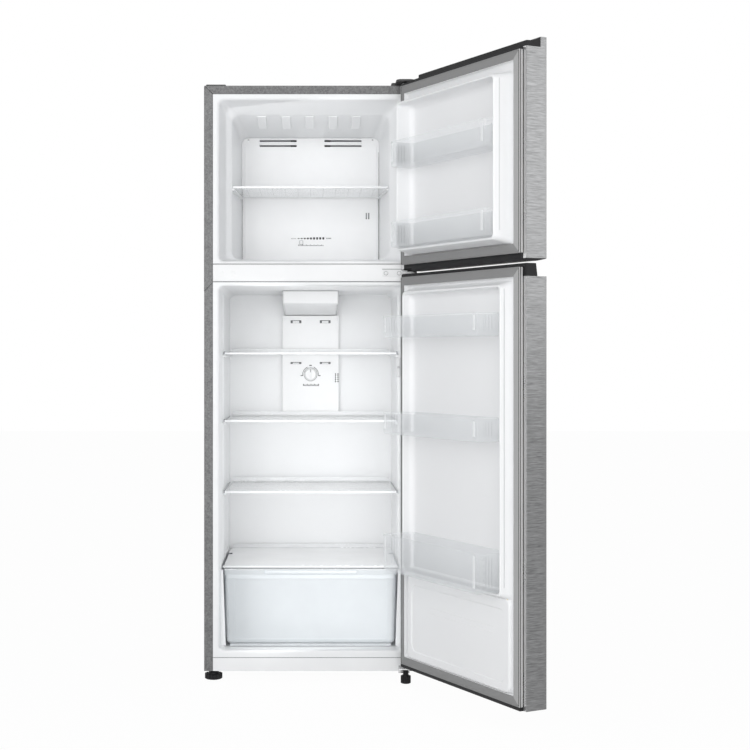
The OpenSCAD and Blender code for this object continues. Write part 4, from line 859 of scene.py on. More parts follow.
def lower_liner():
    """The lower compartment: nearly straight walls, with a step over the compressor."""
    bm = bmesh.new()
    depths = [6, mouth_d - 3, mouth_d + 3, 120, 240, 360, liner_d - 8, liner_d]
    radii = [13, 13, 13, 15, 17, 19, 20, 20]
    rim = (plinth_z[1] + 0.4, rail_z[0] - 1.0)
    lofted(bm, mouth_sections(rim, fridge_half, fridge_low, fridge_top, depths, radii), start=False)

    # The corner behind and under the step is cut away, and the step's two faces close the hole
    for point, normal in (((0, step_y, 0), (0, 1, 0)), ((0, 0, step_z), (0, 0, 1))):
        scored(bm, list(bm.faces), point, normal)
    cut = [f for f in bm.faces if f.calc_center_median().y > step_y and f.calc_center_median().z < step_z]
    bmesh.ops.delete(bm, geom=cut, context="FACES")
    hole = [e for e in bm.edges if e.is_boundary and all(v.co.y > 50 for v in e.verts)]
    wall = [e for e in hole if all(abs(v.co.y - step_y) < 0.1 for v in e.verts)]
    top = [e for e in hole if all(abs(v.co.z - step_z) < 0.1 for v in e.verts)]
    ends = [v for v in {v for e in wall for v in e.verts} if sum(v in w.verts for w in wall) == 1]
    fold = bm.edges.new(ends)
    bmesh.ops.edgenet_fill(bm, edges=wall + [fold])
    bmesh.ops.edgenet_fill(bm, edges=top + [fold])
    rounded(bm, [fold], 8, 4)
    piece("fridge_inner_liner", bm, liner_white, replaced=["fridge_liner"], sheet=-wall_t,
          inside=(0, 200, 650))


# ---- Doors ----

def door_wrap(name, z, hinge_top, fascia_top, body, node):
    """The steel wrapped round a door: both sides, the front, and the narrow hems round the gasket.
    Its upper edge stands at fascia_top in front, at hinge_top by the hinge and at z[1] on the free side."""
    bm = bmesh.new()
    plan = [(-gasket_half + 1, rim_y), (-door_half, rim_y), (-door_half, strip_y + 0.2),
            (-door_half, strip_y), (-door_half, face_y), (door_half, face_y), (door_half, face_y + 1.4),
            (door_half, face_y + 1.6), (door_half, rim_y), (gasket_half - 1, rim_y)]
    verts = [bm.verts.new((x, y, z[0])) for x, y in plan]
    for pair in zip(verts, verts[1:]):
        bm.edges.new(pair)
    for corner, radius in ((verts[1], 1.8), (verts[4], 2.2), (verts[5], 1.2), (verts[8], 1.8)):
        rounded(bm, [corner], radius, 4, "VERTICES")
    for v in drawn(bm, list(bm.edges))[0]:
        if v.co.y < strip_y + 0.1 and v.co.x < 0 or v.co.y < face_y + 1.5:
            v.co.z = fascia_top
        elif v.co.x > 0:
            v.co.z = hinge_top
        else:
            v.co.z = z[1]
    # The hem faces take a much lighter copy of the steel: painted highlight
    for f in bm.faces:
        if f.calc_center_median().y > rim_y - 0.01:
            f.material_index = 1
    piece(name, bm, [door_steel, hem_painted_highlight], body, DOOR, [node], sheet=steel_t,
          inside=(0, (face_y + rim_y) / 2, (z[0] + z[1]) / 2), sharp=50)


def door_liner(name, seal, crest, pocket, body, node, panel=None):
    """The door's white liner: a flat flange, a rounded ridge round the pocket, and a soft pocket floor."""
    bm = bmesh.new()
    flange = gasket_half - gasket_w + 0.5
    foot = pocket_half + ridge_w + 4
    round_r = 3
    soft = 15
    path = [(0.1, flange), (0.1, foot)]
    path += arc((4, foot), 4, 270, 190, 4)[1:]
    path += arc((crest - round_r, pocket_half + round_r), round_r, 8, 180, 8)
    path += arc((panel_rise + soft, pocket_half - soft), soft, 0, -90, 7)
    sections = []
    for up, at in path:
        z = (pocket[0] + pocket_half - at, pocket[1] - pocket_half + at)
        radius = 10 + (at - pocket_half) * 0.3
        if at > foot + 2:
            z = (seal[0] + gasket_w - 0.5, seal[1] - gasket_w + 0.5)
            radius = 2
        sections.append((rim_y + up, (-at, at), z, radius))
    lofted(bm, sections, start=False, steps=7)
    if panel:
        low_panel(bm, panel)

    # A fine moulded line down each outer flank of the ridge, in grey as painted shade of the crease
    lines = bmesh.new()
    line_x = (pocket_half + 6.5, pocket_half + 8.7)
    height = rim_y + 0.72 * crest
    both_sides(lines, lambda: block(lines, line_x, (height - 1.2, height + 1.2),
                                    (pocket[0] + 15, pocket[1] - 3), edge=0.3))
    piece(name + "_lines", lines, moulded_line_shade, body, DOOR)
    piece(name, bm, door_white, body, DOOR, [node], sheet=-wall_t,
          inside=(0, rim_y + 200, (seal[0] + seal[1]) / 2), sharp=40)


def low_panel(bm, z):
    """The plateau under the lower door's ridges, with a shallow panel pressed into it and two level beads."""
    half_w = pocket_half + ridge_w
    up = plateau_rise
    soft = 3
    inner = 20
    path = [(0.2, 0), (up - soft, 3)]
    path += [(up - soft + soft * sin(radians(a)), 3 + soft - soft * cos(radians(a))) for a in (30, 60, 90)]
    path += [(up, inner), (up - 0.8, inner + 0.8), (up - 2.2, inner + 2.2), (up - 2.5, inner + 4)]
    radii = [18, 17, 16, 15, 14, 20, 20, 19, 18]
    sections = []
    for (height, inset), radius in zip(path, radii):
        top = inset if inset < inner else inset + 6
        x = (-half_w + inset, half_w - inset)
        sections.append((rim_y + height, x, (z[0] + inset, z[1] - top), radius))
    lofted(bm, sections, start=False, steps=7)
    for bead in (z[1] - 73, z[1] - 87):
        block(bm, (-156, 124), (rim_y + up - 3, rim_y + up - 2), (bead - 1, bead + 1), edge=0.4)


def gasket(name, seal, trims, body, node):
    """A magnetic gasket: a foot with two folds, a sloping head with a groove near its edge, and an inner web.
    trims draw its lower and upper sides in, where a door cap comes forward beside them."""
    bm = bmesh.new()
    top = -rim_y - 1.5
    out = gasket_half
    inner = out - gasket_w
    fold = out - 2.2
    bulge = out - 0.2
    path = [(0, fold), (1.1, fold), (1.5, bulge), (6.4, out), (6.8, fold), (7.9, fold), (8.2, bulge),
            (9.4, out), (9.8, out - 0.9), (9.8, out - 2.3), (9.1, out - 2.8), (9.2, out - 3.8),
            (10.0, out - 4.4), (top, inner + 4), (top, inner + 1.2), (top - 0.4, inner + 0.3), (8, inner),
            (0, inner)]
    sections = []
    for up, at in path:
        low, high = [trim + out - at for trim in trims]
        sections.append((rim_y + up, (-at, at), (seal[0] + low, seal[1] - high), 1.2))
    rings = lofted(bm, sections, start=False, end=False, steps=1)
    joined(bm, rings[-1], rings[0])

    # By strip of the section: pale ridges as painted highlight, black folds as painted shadow and a white web
    # all round.
    # The two upright sides also have the painted pale edge and the groove painted black, and the head is a
    # lighter grey on the free side as painted light
    rubber, ridge, dark, web, head = range(5)
    strips = {0: dark, 1: dark, 2: ridge, 3: dark, 4: dark, 5: dark, 6: ridge, 15: web, 16: web}
    upright = {7: ridge, 8: ridge, 9: dark, 10: dark, 11: dark}
    ring_of = {v: i for i, ring in enumerate(rings) for v in ring}
    for f in bm.faces:
        strip = min(ring_of[v] for v in f.verts)
        across = f.calc_center_median().x
        f.material_index = strips.get(strip, upright.get(strip, rubber) if abs(across) > 1 else rubber)
        if strip in (12, 13, 14) and across < -1:
            f.material_index = head
    piece(name, bm, [gasket_grey, gasket_ridge_highlight, painted_groove_shadow, door_white, gasket_head_painted_light], body,
          DOOR, [node], sharp=50)


def freezer_caps():
    """The freezer door's caps: on top a rising wedge that is low over the hinge, below a thin lip."""
    bm = bmesh.new()
    cap_top = span("freezer_door_top_cap", DOOR)[2][1]
    edge_z = shell_z[1] + 9
    skin_z = freezer_steel_z
    low_z = shell_z[1] + 1.5
    notch_x = door_half - 84
    inside = 1.2
    seal_top = freezer_seal_z[1]
    profile = [(strip_y, skin_z - 0.2), (rim_y, skin_z - 0.2), (rim_y, edge_z), (rim_y - 12, edge_z + 0.5),
               (rim_y - 26, edge_z + 4), (strip_y, cap_top)]
    pressed(bm, profile, "x", (-door_half + 0.2, notch_x), edge=0.8)
    pressed(bm, [(face_y + inside, skin_z - 12), (strip_y, skin_z - 12), (strip_y, cap_top - 0.3),
                 (face_y + inside, cap_top - 0.3)], "x", (-door_half + inside, notch_x), edge=0.4)
    block(bm, (notch_x - 1, door_half - 0.2), (face_y + inside, rim_y), (low_z - 3, low_z), edge=0.6)
    inner_y = (rim_y - 3, rim_y + 0.1)
    block(bm, (-gasket_half + 1.2, gasket_half - 1.2), inner_y, (seal_top - 0.5, skin_z + 0.5))
    block(bm, (notch_x - 1, gasket_half - 1.2), inner_y, (seal_top - 0.5, low_z - 2.5))
    block(bm, (-gasket_half, gasket_half), (rim_y - 1, lip_y), (seal_top - 4.6, seal_top + 0.5), edge=0.6)
    for x in (notch_x - 60, notch_x - 300):
        block(bm, (x - 9, x + 9), (rim_y - 22, rim_y - 16), (edge_z + 1.5, edge_z + 2.6), edge=0.5)
    rod(bm, "z", bush_at, (low_z - 0.5, low_z + 0.6), 7.5, edge=0.3, sides=32)
    piece("freezer_cap_upper", bm, cap_plastic, "freezer_door", DOOR,
          ["freezer_door_top_cap"])

    bm = bmesh.new()
    low = span("freezer_door_bottom_cap", DOOR)[2][0]
    skin = freezer_skin_z[0]
    notch = door_half - 50
    profile = [(rim_y, low), (rim_y, skin), (face_y + 1, skin), (face_y + 1, skin - 0.8), (rim_y - 30, low)]
    pressed(bm, profile, "x", (-door_half + 1, notch), edge=0.5)
    block(bm, (notch - 0.5, door_half - 0.2), (face_y + 1, rim_y), (skin - 1, skin + 2), edge=0.4)
    block(bm, (-gasket_half + 0.6, gasket_half - 0.6), (rim_y - 3, rim_y),
          (skin - 1, freezer_seal_z[0] + 0.5))
    rod(bm, "z", bush_at, (low + 1.2, skin), 9, edge=0.3, sides=32)
    piece("freezer_cap_lower", bm, cap_plastic, "freezer_door", DOOR,
          ["freezer_door_bottom_cap"])


def fridge_caps():
    """The lower door's caps: on top a step behind the finger recess, below a thin lip with the hinge bush."""
    bm = bmesh.new()
    top = span("fridge_door_top_cap", DOOR)[2][1]
    skin = fridge_skin_z[1]
    step_front = face_y + 25
    block(bm, (-door_half + 1, door_half - 1), (face_y + 1, rim_y - 1.5), (skin - 14, skin - 0.4), edge=0.4)
    pressed(bm, [(step_front, skin - 0.6), (rim_y, skin - 0.6), (rim_y, top), (step_front + 4, top)], "x",
            (-door_half + 0.1, door_half - 0.1), edge=1.0, steps=3)
    for x in (-door_half + 22, -door_half + 60, 120):
        rod(bm, "z", (x, rim_y - 16), (top - 0.5, top - 0.02), 5.5, edge=0.2, sides=28)
    piece("fridge_cap_upper", bm, cap_plastic, "fridge_door", DOOR, ["fridge_door_top_cap"])

    bm = bmesh.new()
    bush_low = span("fridge_door_bottom_cap", DOOR)[2][0]
    skin = fridge_skin_z[0]
    seal_low = fridge_seal_z[0]
    block(bm, (-door_half + 1.2, door_half - 1.2), (face_y + 1.2, rim_y - 0.2), (skin - 2.6, skin + 3),
          edge=0.7)
    block(bm, (-gasket_half, gasket_half), (rim_y - 1, lip_y), (skin - 2.6, seal_low + 3.7), edge=0.6)
    block(bm, (-gasket_half + 0.6, gasket_half - 0.6), (rim_y - 3, rim_y), (skin - 1, seal_low + 0.5))
    rod(bm, "z", bush_at, (bush_low, skin - 2), 8, edge=0.5, sides=32)
    piece("fridge_cap_lower", bm, cap_plastic, "fridge_door", DOOR,
          ["fridge_door_bottom_cap"])


def door_bin(node):
    """A clear bin: a tray with a rolled rim and a foot bead, with ribs and small pips on both ends."""
    x, y, z = span(node, DOOR)
    bm = bmesh.new()
    half_w = x[1]
    wall = 2.2
    skirt = 1.2
    front_r = 7
    back_r = 9

    def plan(inset, at):
        back, front = max(back_r - inset, 1), max(front_r - inset, 2)
        across = (-half_w + inset, half_w - inset)
        return (at, across, (y[0] + inset, y[1] - inset), (back, back, front, front))

    low, high = z
    outside = [(5, low), (2.4, low + 1.1), (1.3, low + 4), (skirt, low + 9), (0.5, low + 9.5),
               (0.5, low + 11.5), (skirt, low + 12), (skirt, high - 5), (0.1, high - 4.2), (0, high - 1),
               (0.7, high)]
    within = [(skirt + wall - 0.7, high), (skirt + wall, high - 1), (skirt + wall, low + 7),
              (3 + wall, low + wall + 1), (7 + wall, low + wall)]
    lofted(bm, [plan(inset, at) for inset, at in outside + within], "xy", steps=6)

    def ribs_and_pips():
        for k in range(3):
            at = y[1] - 26 - k * 8
            block(bm, (half_w - 1.3, half_w - 0.1), (at - 1, at + 1), (low + 14, high - 7), edge=0.4)
        for k in range(5):
            at = low + 14 + k * (high - low - 26) / 4
            block(bm, (half_w - 1.3, half_w), (y[1] - 21.5, y[1] - 19), (at - 1.6, at + 1.6), edge=0.3)

    both_sides(bm, ribs_and_pips)
    piece(node + "_tray", bm, bin_clear, node, DOOR, [node])

    # Two bright beads down each corner that faces the shelves, denser and whiter than the bin: painted
    # highlight of the rounded corner
    bm = bmesh.new()

    def beads():
        for at in (half_w - 9, half_w - 14):
            block(bm, (at - 1, at + 1), (y[1] - 1.3, y[1] - 0.1), (low + 13, high - 5), edge=0.4)

    both_sides(bm, beads)
    piece(node + "_corner_highlights", bm, frosted_trim_and_highlight, node, DOOR)


def doors():
    """Both doors, each with its wrap, liner, gasket and caps, and the five bins."""
    pocket = (freezer_z[0] + 24.5, freezer_z[1] - 31)
    door_wrap("freezer_steel", (freezer_skin_z[0], freezer_steel_z), shell_z[1] - 0.5, freezer_skin_z[1],
              "freezer_door", "freezer_door_skin")
    door_liner("freezer_white_liner", freezer_seal_z, freezer_crest, pocket, "freezer_door",
               "freezer_door_liner")
    gasket("freezer_seal", freezer_seal_z, (0, 4), "freezer_door", "freezer_door_gasket")
    freezer_caps()
    pocket = (span("fridge_bin_lower", DOOR)[2][0] - 3, fridge_z[1] - 24)
    plateau = (fridge_seal_z[0] + gasket_w + 3, pocket[0] - ridge_w + 4)
    door_wrap("fridge_steel", (fridge_skin_z[0] - foot_drop, fridge_skin_z[1]), fridge_skin_z[1],
              fridge_skin_z[1], "fridge_door", "fridge_door_skin")
    door_liner("fridge_white_liner", fridge_seal_z, fridge_crest, pocket, "fridge_door", "fridge_door_liner",
               panel=plateau)
    gasket("fridge_seal", fridge_seal_z, (3.5, 0), "fridge_door", "fridge_door_gasket")
    fridge_caps()
    for node in ("freezer_bin_upper", "freezer_bin_lower", "fridge_bin_upper", "fridge_bin_middle",
                 "fridge_bin_lower"):
        door_bin(node)


# ---- Inside fittings ----

def lamp_housing():
    """The lamp's housing: a rounded front, a sloping underside, and a flat lens let into it."""
    x, y, z = span("lamp_housing")
    front_low = z[1] - 36.2
    back_top = z[1] - fridge_fall * (y[1] - y[0]) / liner_d
    bm = bmesh.new()
    pressed(bm, [(y[0], front_low), (y[0], z[1]), (y[1], back_top), (y[1], z[0])], "x", x, edge=5, steps=4)
    piece("lamp_hood", bm, hood_white, replaced=["lamp_housing"])

    near, far = y[0] + 8, y[1] - 24
    under = [front_low + (z[0] - front_low) * (at - y[0]) / (y[1] - y[0]) for at in (near, far)]
    bm = bmesh.new()
    profile = [(near, under[0] + 1), (far, under[1] + 1), (far, under[1] - 0.6), (near, under[0] - 0.6)]
    pressed(bm, profile, "x", (-70, 70), edge=0.5)
    piece("lamp_lens", bm, liner_white)


def ring(centre, inner, outer, start, stop):
    """The outline of part of a flat ring, each point (x, z), from one angle to another from the top."""
    return arc(centre, outer, start, stop, 16) + arc(centre, inner, stop, start, 16)


def duct():
    """The air duct's panel, with two pairs of vents and a curved guide in each."""
    x, y, z = span("duct_panel")
    soft = 1.4
    part = soft * 0.3
    square_top = [8, 8, 1, 1]
    bm = bmesh.new()
    lofted(bm, [(y[0], (x[0] + soft, x[1] - soft), (z[0] + soft, z[1]), [7, 7, 1, 1]),
                (y[0] + part, (x[0] + part, x[1] - part), (z[0] + part, z[1]), square_top),
                (y[0] + soft, x, z, square_top), (y[1], x, z, square_top)], end=False)
    vents = [(left, low, high) for low, high in ((931.5, 940.0), (814.6, 820.4)) for left in (-57.3, 26.4)]
    for left, low, high in vents:
        sunk(bm, (left, left + 30.9), (low, high), y[0], 7, material=1)
    piece("duct_cover", bm, [cover_white, slot_dark], replaced=["duct_panel"], sheet=wall_t,
          inside=(0, y[1], 800))
    bm = bmesh.new()
    for left, low, high in vents:
        block(bm, (left + 6, left + 25), (y[0] + 1.5, y[0] + 6.8), (low + 0.4, high - 1.6), edge=1.2, steps=3)
    piece("vent_guides", bm, cover_white)


def dial_marks_and_knob_shadow():
    """Printed round the dial: an arc on each side, three ticks, a scale under it and a grid of dots, and a
    near-black ring just round the knob as its painted shadow.
    """
    bm = bmesh.new()
    flat = (duct_y - 0.25, duct_y + 0.2)
    for start, stop in ((24, 98), (-98, -24)):
        pressed(bm, ring(dial_centre, 21.8, 23.1, start, stop), "y", flat)
    # Painted shadow: a thin near-black ring just round the knob
    for start, stop in ((-180, 0), (0, 180)):
        pressed(bm, ring(dial_centre, knob_r - 0.1, knob_r + 0.9, start, stop), "y", flat)
    block(bm, (-3.6, 3.6), flat, (knob_z + 24.6, knob_z + 27))
    for side in (-1, 1):
        block(bm, sorted((side * 22, side * 28.6)), flat, (knob_z - 4.6, knob_z - 2.6))
    for i in range(13):
        tall = 5.4 if i % 3 == 0 else 3.6
        middle = -20.4 + 3.6 * i
        block(bm, (middle - 1.1, middle + 1.1), flat, (knob_z - 33, knob_z - 33 + tall))
    for column in (71.5, 78.5):
        for row in range(5):
            rod(bm, "y", (column, knob_z + 1 - 5.4 * row), flat, 1.9, sides=12)
    piece("dial_marks_and_knob_shadow", bm, print_and_shadow_black)


def dial():
    """The dial: a thin skirt, a tapered body with a fluted rim, and a grip bar with its pointer."""
    face = duct_y - 13
    flutes = 28
    bm = bmesh.new()
    rod(bm, "y", dial_centre, (duct_y - 3.5, duct_y - 0.2), knob_r, edge=0.8, sides=64)
    rod(bm, "y", dial_centre, (face, duct_y - 3.2), knob_r - 3, end_radius=knob_r - 2, edge=1.8, sides=64)
    for i in range(flutes):
        turn = 2 * pi * i / flutes
        at = (sin(turn) * (knob_r - 2.6), knob_z + cos(turn) * (knob_r - 2.6))
        rod(bm, "y", at, (face + 2, duct_y - 3.3), 0.55, sides=8)
    block(bm, (-2.3, 2.3), (face - 3, face + 1), (knob_z - 15.5, knob_z + 15.5), edge=1.2, steps=4)
    piece("dial", bm, knob_white, "thermostat_dial", replaced=["dial_knob"])
    bm = bmesh.new()
    block(bm, (-0.7, 0.7), (face - 3.15, face - 2.5), (knob_z + 6, knob_z + 14.4), edge=0.2)
    piece("dial_pointer", bm, print_and_shadow_black, "thermostat_dial")


def pane_trims(bm, place, top, front_w, nose, rear_nose, slot):
    """A pane's front and rear trims; slot is the pane's groove, low and high over the trims' underside."""
    x, y, z = place
    low, high = z[0] + slot[0], z[0] + slot[1]
    front, rear = y[0] + front_w, y[1] - 12
    pressed(bm, [(y[0], z[0] + 1.6), (y[0] + 1.2, z[0]), (front, z[0]), (front, low), (y[0] + nose, low),
                 (y[0] + nose, high), (front, high), (front, top), (y[0] + 1.2, top), (y[0], top - 1.4)],
            "x", x, edge=0.35)
    pressed(bm, [(rear, z[0]), (y[1], z[0]), (y[1], z[1]), (y[1] - 2.4, z[1]), (y[1] - 2.4, top), (rear, top),
                 (rear, high), (y[1] - rear_nose, high), (y[1] - rear_nose, low), (rear, low)],
            "x", (-shelf_rear, shelf_rear), edge=0.35)


def glass_shelf(level):
    """A glass shelf: the pane, a front trim, a rear trim with an upstand, and dark edges at the sides, with
    painted shadow at the front trim's ends.
    """
    body = level + "_shelf"
    pane, trim = "shelf_glass_" + level, "shelf_trim_" + level
    glass_x, glass_y, glass_z = span(pane)
    x, y, z = span(trim)
    top = z[0] + trim_h
    bm = bmesh.new()
    block(bm, glass_x, glass_y, glass_z, edge=0.7)
    piece(body + "_pane", bm, shelf_glass, body, replaced=[pane])
    bm = bmesh.new()
    pane_trims(bm, (x, y, z), top, front_w=16, nose=5, rear_nose=5.5, slot=(1, 4.3))
    piece(body + "_trim", bm, frosted_trim_and_highlight, body, replaced=[trim])
    bm = bmesh.new()

    def side():
        block(bm, (glass_x[1] - 0.25, glass_x[1] + 0.15), (glass_y[0] + 12, glass_y[1] - 8),
              (glass_z[0] + 0.3, glass_z[1] - 0.3))
        # Painted shadow: a dark block at the end of the front trim
        block(bm, (x[1] - 2.6, x[1] - 0.1), (y[0] - 0.2, y[0] + 8), (z[0] + 0.4, top + 2.2), edge=0.4)

    both_sides(bm, side)
    piece(body + "_edges", bm, glass_edge_and_shadow, body)


def freezer_shelf():
    """The freezer's clear shelf: a tapered plate with fine ribs, a rolled front edge and a rear upstand."""
    x, y, z = span("freezer_shelf")
    back_half = freezer_half(y[1]) - 2.6
    plate_top = z[0] + 2.4
    low, high = z[0], z[0] + 6
    bm = bmesh.new()
    plan = [(x[0] + 0.3, y[0] + 4), (x[1] - 0.3, y[0] + 4), (back_half, y[1] - 1), (-back_half, y[1] - 1)]
    pressed(bm, plan, "z", (z[0], plate_top), edge=0.5)
    for i in range(11):
        middle = -170 + 34 * i
        block(bm, (middle - 0.8, middle + 0.8), (y[0] + 14, y[1] - 8), (plate_top - 0.2, plate_top + 0.5),
              edge=0.2)
    piece("freezer_shelf_plate", bm, freezer_clear, "freezer_shelf",
          replaced=["freezer_shelf"])
    bm = bmesh.new()
    pressed(bm, [(y[0], low + 1.8), (y[0] + 1.6, low), (y[0] + 8, low), (y[0] + 8, high), (y[0] + 1.6, high),
                 (y[0], high - 1.8)], "x", x, edge=0.6)
    block(bm, (-back_half, back_half), (y[1] - 3, y[1]), z, edge=1.0, steps=3)
    piece("freezer_shelf_bars", bm, frosted_trim_and_highlight, "freezer_shelf")


def crisper_cover():
    """The crisper's glass cover in its frame, with a dark strip at each side that is painted shadow of the
    gap to the wall.
    """
    x, y, z = span("crisper_cover_trim")
    glass_x, glass_y, glass_z = span("crisper_cover_glass")
    top = z[1] - 10
    bm = bmesh.new()
    block(bm, glass_x, glass_y, glass_z, edge=0.7)
    piece("crisper_pane", bm, cover_frost, "crisper_cover", replaced=["crisper_cover_glass"])
    bm = bmesh.new()
    pane_trims(bm, (x, y, z), top, front_w=20, nose=12, rear_nose=6, slot=(0.9, 4.4))
    piece("crisper_frame", bm, frosted_trim_and_highlight, "crisper_cover", replaced=["crisper_cover_trim"])
    bm = bmesh.new()

    # Painted shadow: dark strips along each side, with a short hook across at the back end
    def seal():
        block(bm, (x[1] - 3, x[1] - 0.2), (y[0] + 3, y[0] + 240), (z[0] + 1, top + 0.2), edge=0.4)
        block(bm, (x[1] - 13, x[1] - 0.2), (y[0] + 236, y[0] + 242), (z[0] + 1, top + 1.2), edge=0.4)

    both_sides(bm, seal)
    piece("crisper_side_shadows", bm, painted_shadow_grey, "crisper_cover")


def crisper_drawer():
    """The crisper's clear drawer, with a rim and a raised border on its front, and a rib at each corner."""
    drawer_x, drawer_y, (low, high) = span("crisper_drawer")
    front, back = drawer_front, drawer_y[1]
    tall = high - low
    top_half = drawer_x[1]
    low_half = top_half - 6.6
    corner_r = 12
    bend_r = 12
    wall = 2.4
    skirt = 0.8

    def plan(inset, up):
        reach = low_half + (top_half - low_half) * up / tall - inset
        r = max(corner_r - inset * 0.5, 2)
        return (low + up, (-reach, reach), (front + inset, back - inset), r)

    bends = [radians(a) for a in (80, 60, 40, 20, 0)]
    bend = [(bend_r * (1 - cos(a)), bend_r * (1 - sin(a))) for a in bends]
    outside = [(inward + skirt, up) for inward, up in bend]
    outside += [(skirt, tall - 14), (0, tall - 13.4), (0, tall - 0.8), (0.6, tall)]
    within = [(skirt + wall - 0.6, tall), (skirt + wall, tall - 0.8)]
    within += [(inward + skirt + wall, up + wall) for inward, up in reversed(bend)]
    bm = bmesh.new()
    lofted(bm, [plan(inset, up) for inset, up in outside + within], "xy", steps=6)
    block(bm, (-120, 120), (front - 6, front + 1), (high - 10, high - 2), edge=2.2, steps=4)
    block(bm, (-low_half + 10, low_half - 10), (front + 3, front + 6), (low - 5.6, low + 1), edge=0.6)
    piece("crisper_box", bm, drawer_clear, "crisper_drawer", replaced=["crisper_drawer"])

    bm = bmesh.new()
    cover_front = span("crisper_cover_trim")[1][0]
    block(bm, (-top_half + 3, top_half - 3), (front + 1.6, cover_front + 2), (high - 1.8, high), edge=0.7)
    piece("crisper_rim", bm, frosted_trim_and_highlight, "crisper_drawer")
    bm = bmesh.new()
    block(bm, (-top_half + 9, top_half - 9), (front - 0.7, front + 0.9), (high - 24, high - 13.6), edge=0.6)
    both_sides(bm, lambda: block(bm, (197, 199.6), (front - 0.6, front + 0.8), (low + 15, high - 24.6),
                                 edge=0.5))
    block(bm, (-196, 196), (front - 0.5, front + 0.9), (low + 13, low + 15.4), edge=0.4)
    piece("crisper_border", bm, drawer_clear, "crisper_drawer")
    bm = bmesh.new()
    rib_x = (low_half + top_half) / 2
    both_sides(bm, lambda: block(bm, (rib_x - 2.2, rib_x - 0.6), (front + 3, front + 4.4),
                                 (low + 14, high - 16), edge=0.4))
    piece("crisper_corners", bm, glass_edge_and_shadow, "crisper_drawer")


def wall_ledges():
    """Moulded in the lower liner's walls: a ledge under each shelf, a guide by the drawer, and two flutes."""
    bm = bmesh.new()
    y = (shelf_y[0] + 18, shelf_y[1] - 14)

    def ledges():
        for level in LEVELS:
            low = span("shelf_trim_" + level)[2][0]
            pressed(bm, wall_strip(fridge_half, y, 7.6), "z", (low - 6.6, low - 0.3), edge=1.6, steps=3)
        pressed(bm, [(228.7, 279), (234.5, 279), (236, 81), (221.8, 81)], "y", (47, 62), edge=1.4, steps=3)
        for at in (118, 352):
            rod(bm, "z", (fridge_half(at) + 1.2, at), (300, 1000), 2.6, edge=0.8, sides=20)

    both_sides(bm, ledges)
    piece("shelf_ledges", bm, liner_white)


def door_switch():
    """The lamp's switch on the right wall: a soft block with a sprung button in its front."""
    x, y, z = span("switch_housing")
    bm = bmesh.new()
    block(bm, (x[0], x[1] + 1), y, z, edge=3, steps=4)
    block(bm, (x[0] - 0.1, x[0] + 1), (y[0] + 7, y[1] - 7), (z[0] + 7, z[1] - 7), edge=0.4)
    piece("switch_block", bm, liner_white, replaced=["switch_housing"])
    x, y, z = span("switch_button")
    bm = bmesh.new()
    rod(bm, "y", ((x[0] + x[1]) / 2, (z[0] + z[1]) / 2), y, (x[1] - x[0]) / 2, edge=0.7, sides=32)
    piece("switch_plunger", bm, button_grey, "door_switch", replaced=["switch_button"])


def slider():
    """The freezer's control: a small ridged knob in a shallow groove."""
    x, y, z = span("freezer_slider")
    bm = bmesh.new()
    block(bm, x, (y[0], cover_d - 0.2), z, edge=0.9, steps=3)
    for i in range(3):
        middle = x[0] + 2 + 2 * i
        block(bm, (middle - 0.4, middle + 0.4), (y[0] - 0.5, y[0] + 0.5), (z[0] + 1.6, z[1] - 1.6), edge=0.2)
    piece("control_knob", bm, knob_white, "freezer_slider", replaced=["freezer_slider"])
    bm = bmesh.new()
    block(bm, (x[0] - 0.9, x[1] + 0.9), (cover_d - 0.9, cover_d - 0.4), (z[0] - 0.9, z[1] + 0.9), edge=0.2)
    piece("control_knob_shade", bm, painted_shadow_grey, "freezer_slider")


# ---- Hinges, feet and the back ----

def top_hinge():
    """The top hinge's plate, arm and pin."""
    x, y, z = span("top_hinge")
    low, high = shell_z[1], shell_z[1] + top_plate_t
    bm = bmesh.new()
    block(bm, (x[0], hinge_x + 8), (6, y[1]), (low, high), edge=0.6)
    block(bm, (hinge_x - 10, hinge_x + 8), (hinge_y, 24), (high - 0.2, high + 3), edge=0.6)
    rod(bm, "z", pin, (high, high + 3), 9.9, edge=0.6)
    rod(bm, "z", pin, (z[0], high + 1), pin_r, edge=0.5, sides=28)
    piece("upper_hinge", bm, zinc, replaced=["top_hinge"])


def top_covers():
    """The dark covers over the top hinge and over the far corner."""
    covers_x, _, covers_z = span("top_covers")
    low = shell_z[1]
    top = covers_z[1]
    foot_x = hinge_x - 47.5
    back = 66
    bm = bmesh.new()
    x, y = (foot_x + 10, covers_x[1]), (hinge_y - 14, back)
    lofted(bm, [(low + top_plate_t + 0.2, x, y, [13, 18, 5, 5]), (top - 1.8, x, y, [13, 18, 5, 5]),
                (top - 0.5, drawn_in(x, 0.6), drawn_in(y, 0.6), [13, 17, 5, 5]),
                (top, drawn_in(x, 2), drawn_in(y, 2), [12, 16, 4, 4])], "xy")
    x, y = (foot_x, covers_x[1]), (4, back)
    lofted(bm, [(low + 0.1, x, y, 4), (top - 2.4, x, y, 4),
                (top - 1.4, drawn_in(x, 0.8), drawn_in(y, 0.8), 4),
                (top - 1, drawn_in(x, 2), drawn_in(y, 2), 3)], "xy")
    rod(bm, "z", (hinge_x - 4, 42), (top - 0.4, top - 0.05), 5, edge=0.15, sides=28)
    x, y = (covers_x[0], covers_x[0] + 51), (1, 30)
    lofted(bm, [(low + 0.05, x, y, 2.5), (low + 2.2, x, y, 2.5),
                (low + 3, drawn_in(x, 0.8), drawn_in(y, 0.8), 2)], "xy")
    piece("hinge_covers", bm, cover_grey, replaced=["top_covers"])


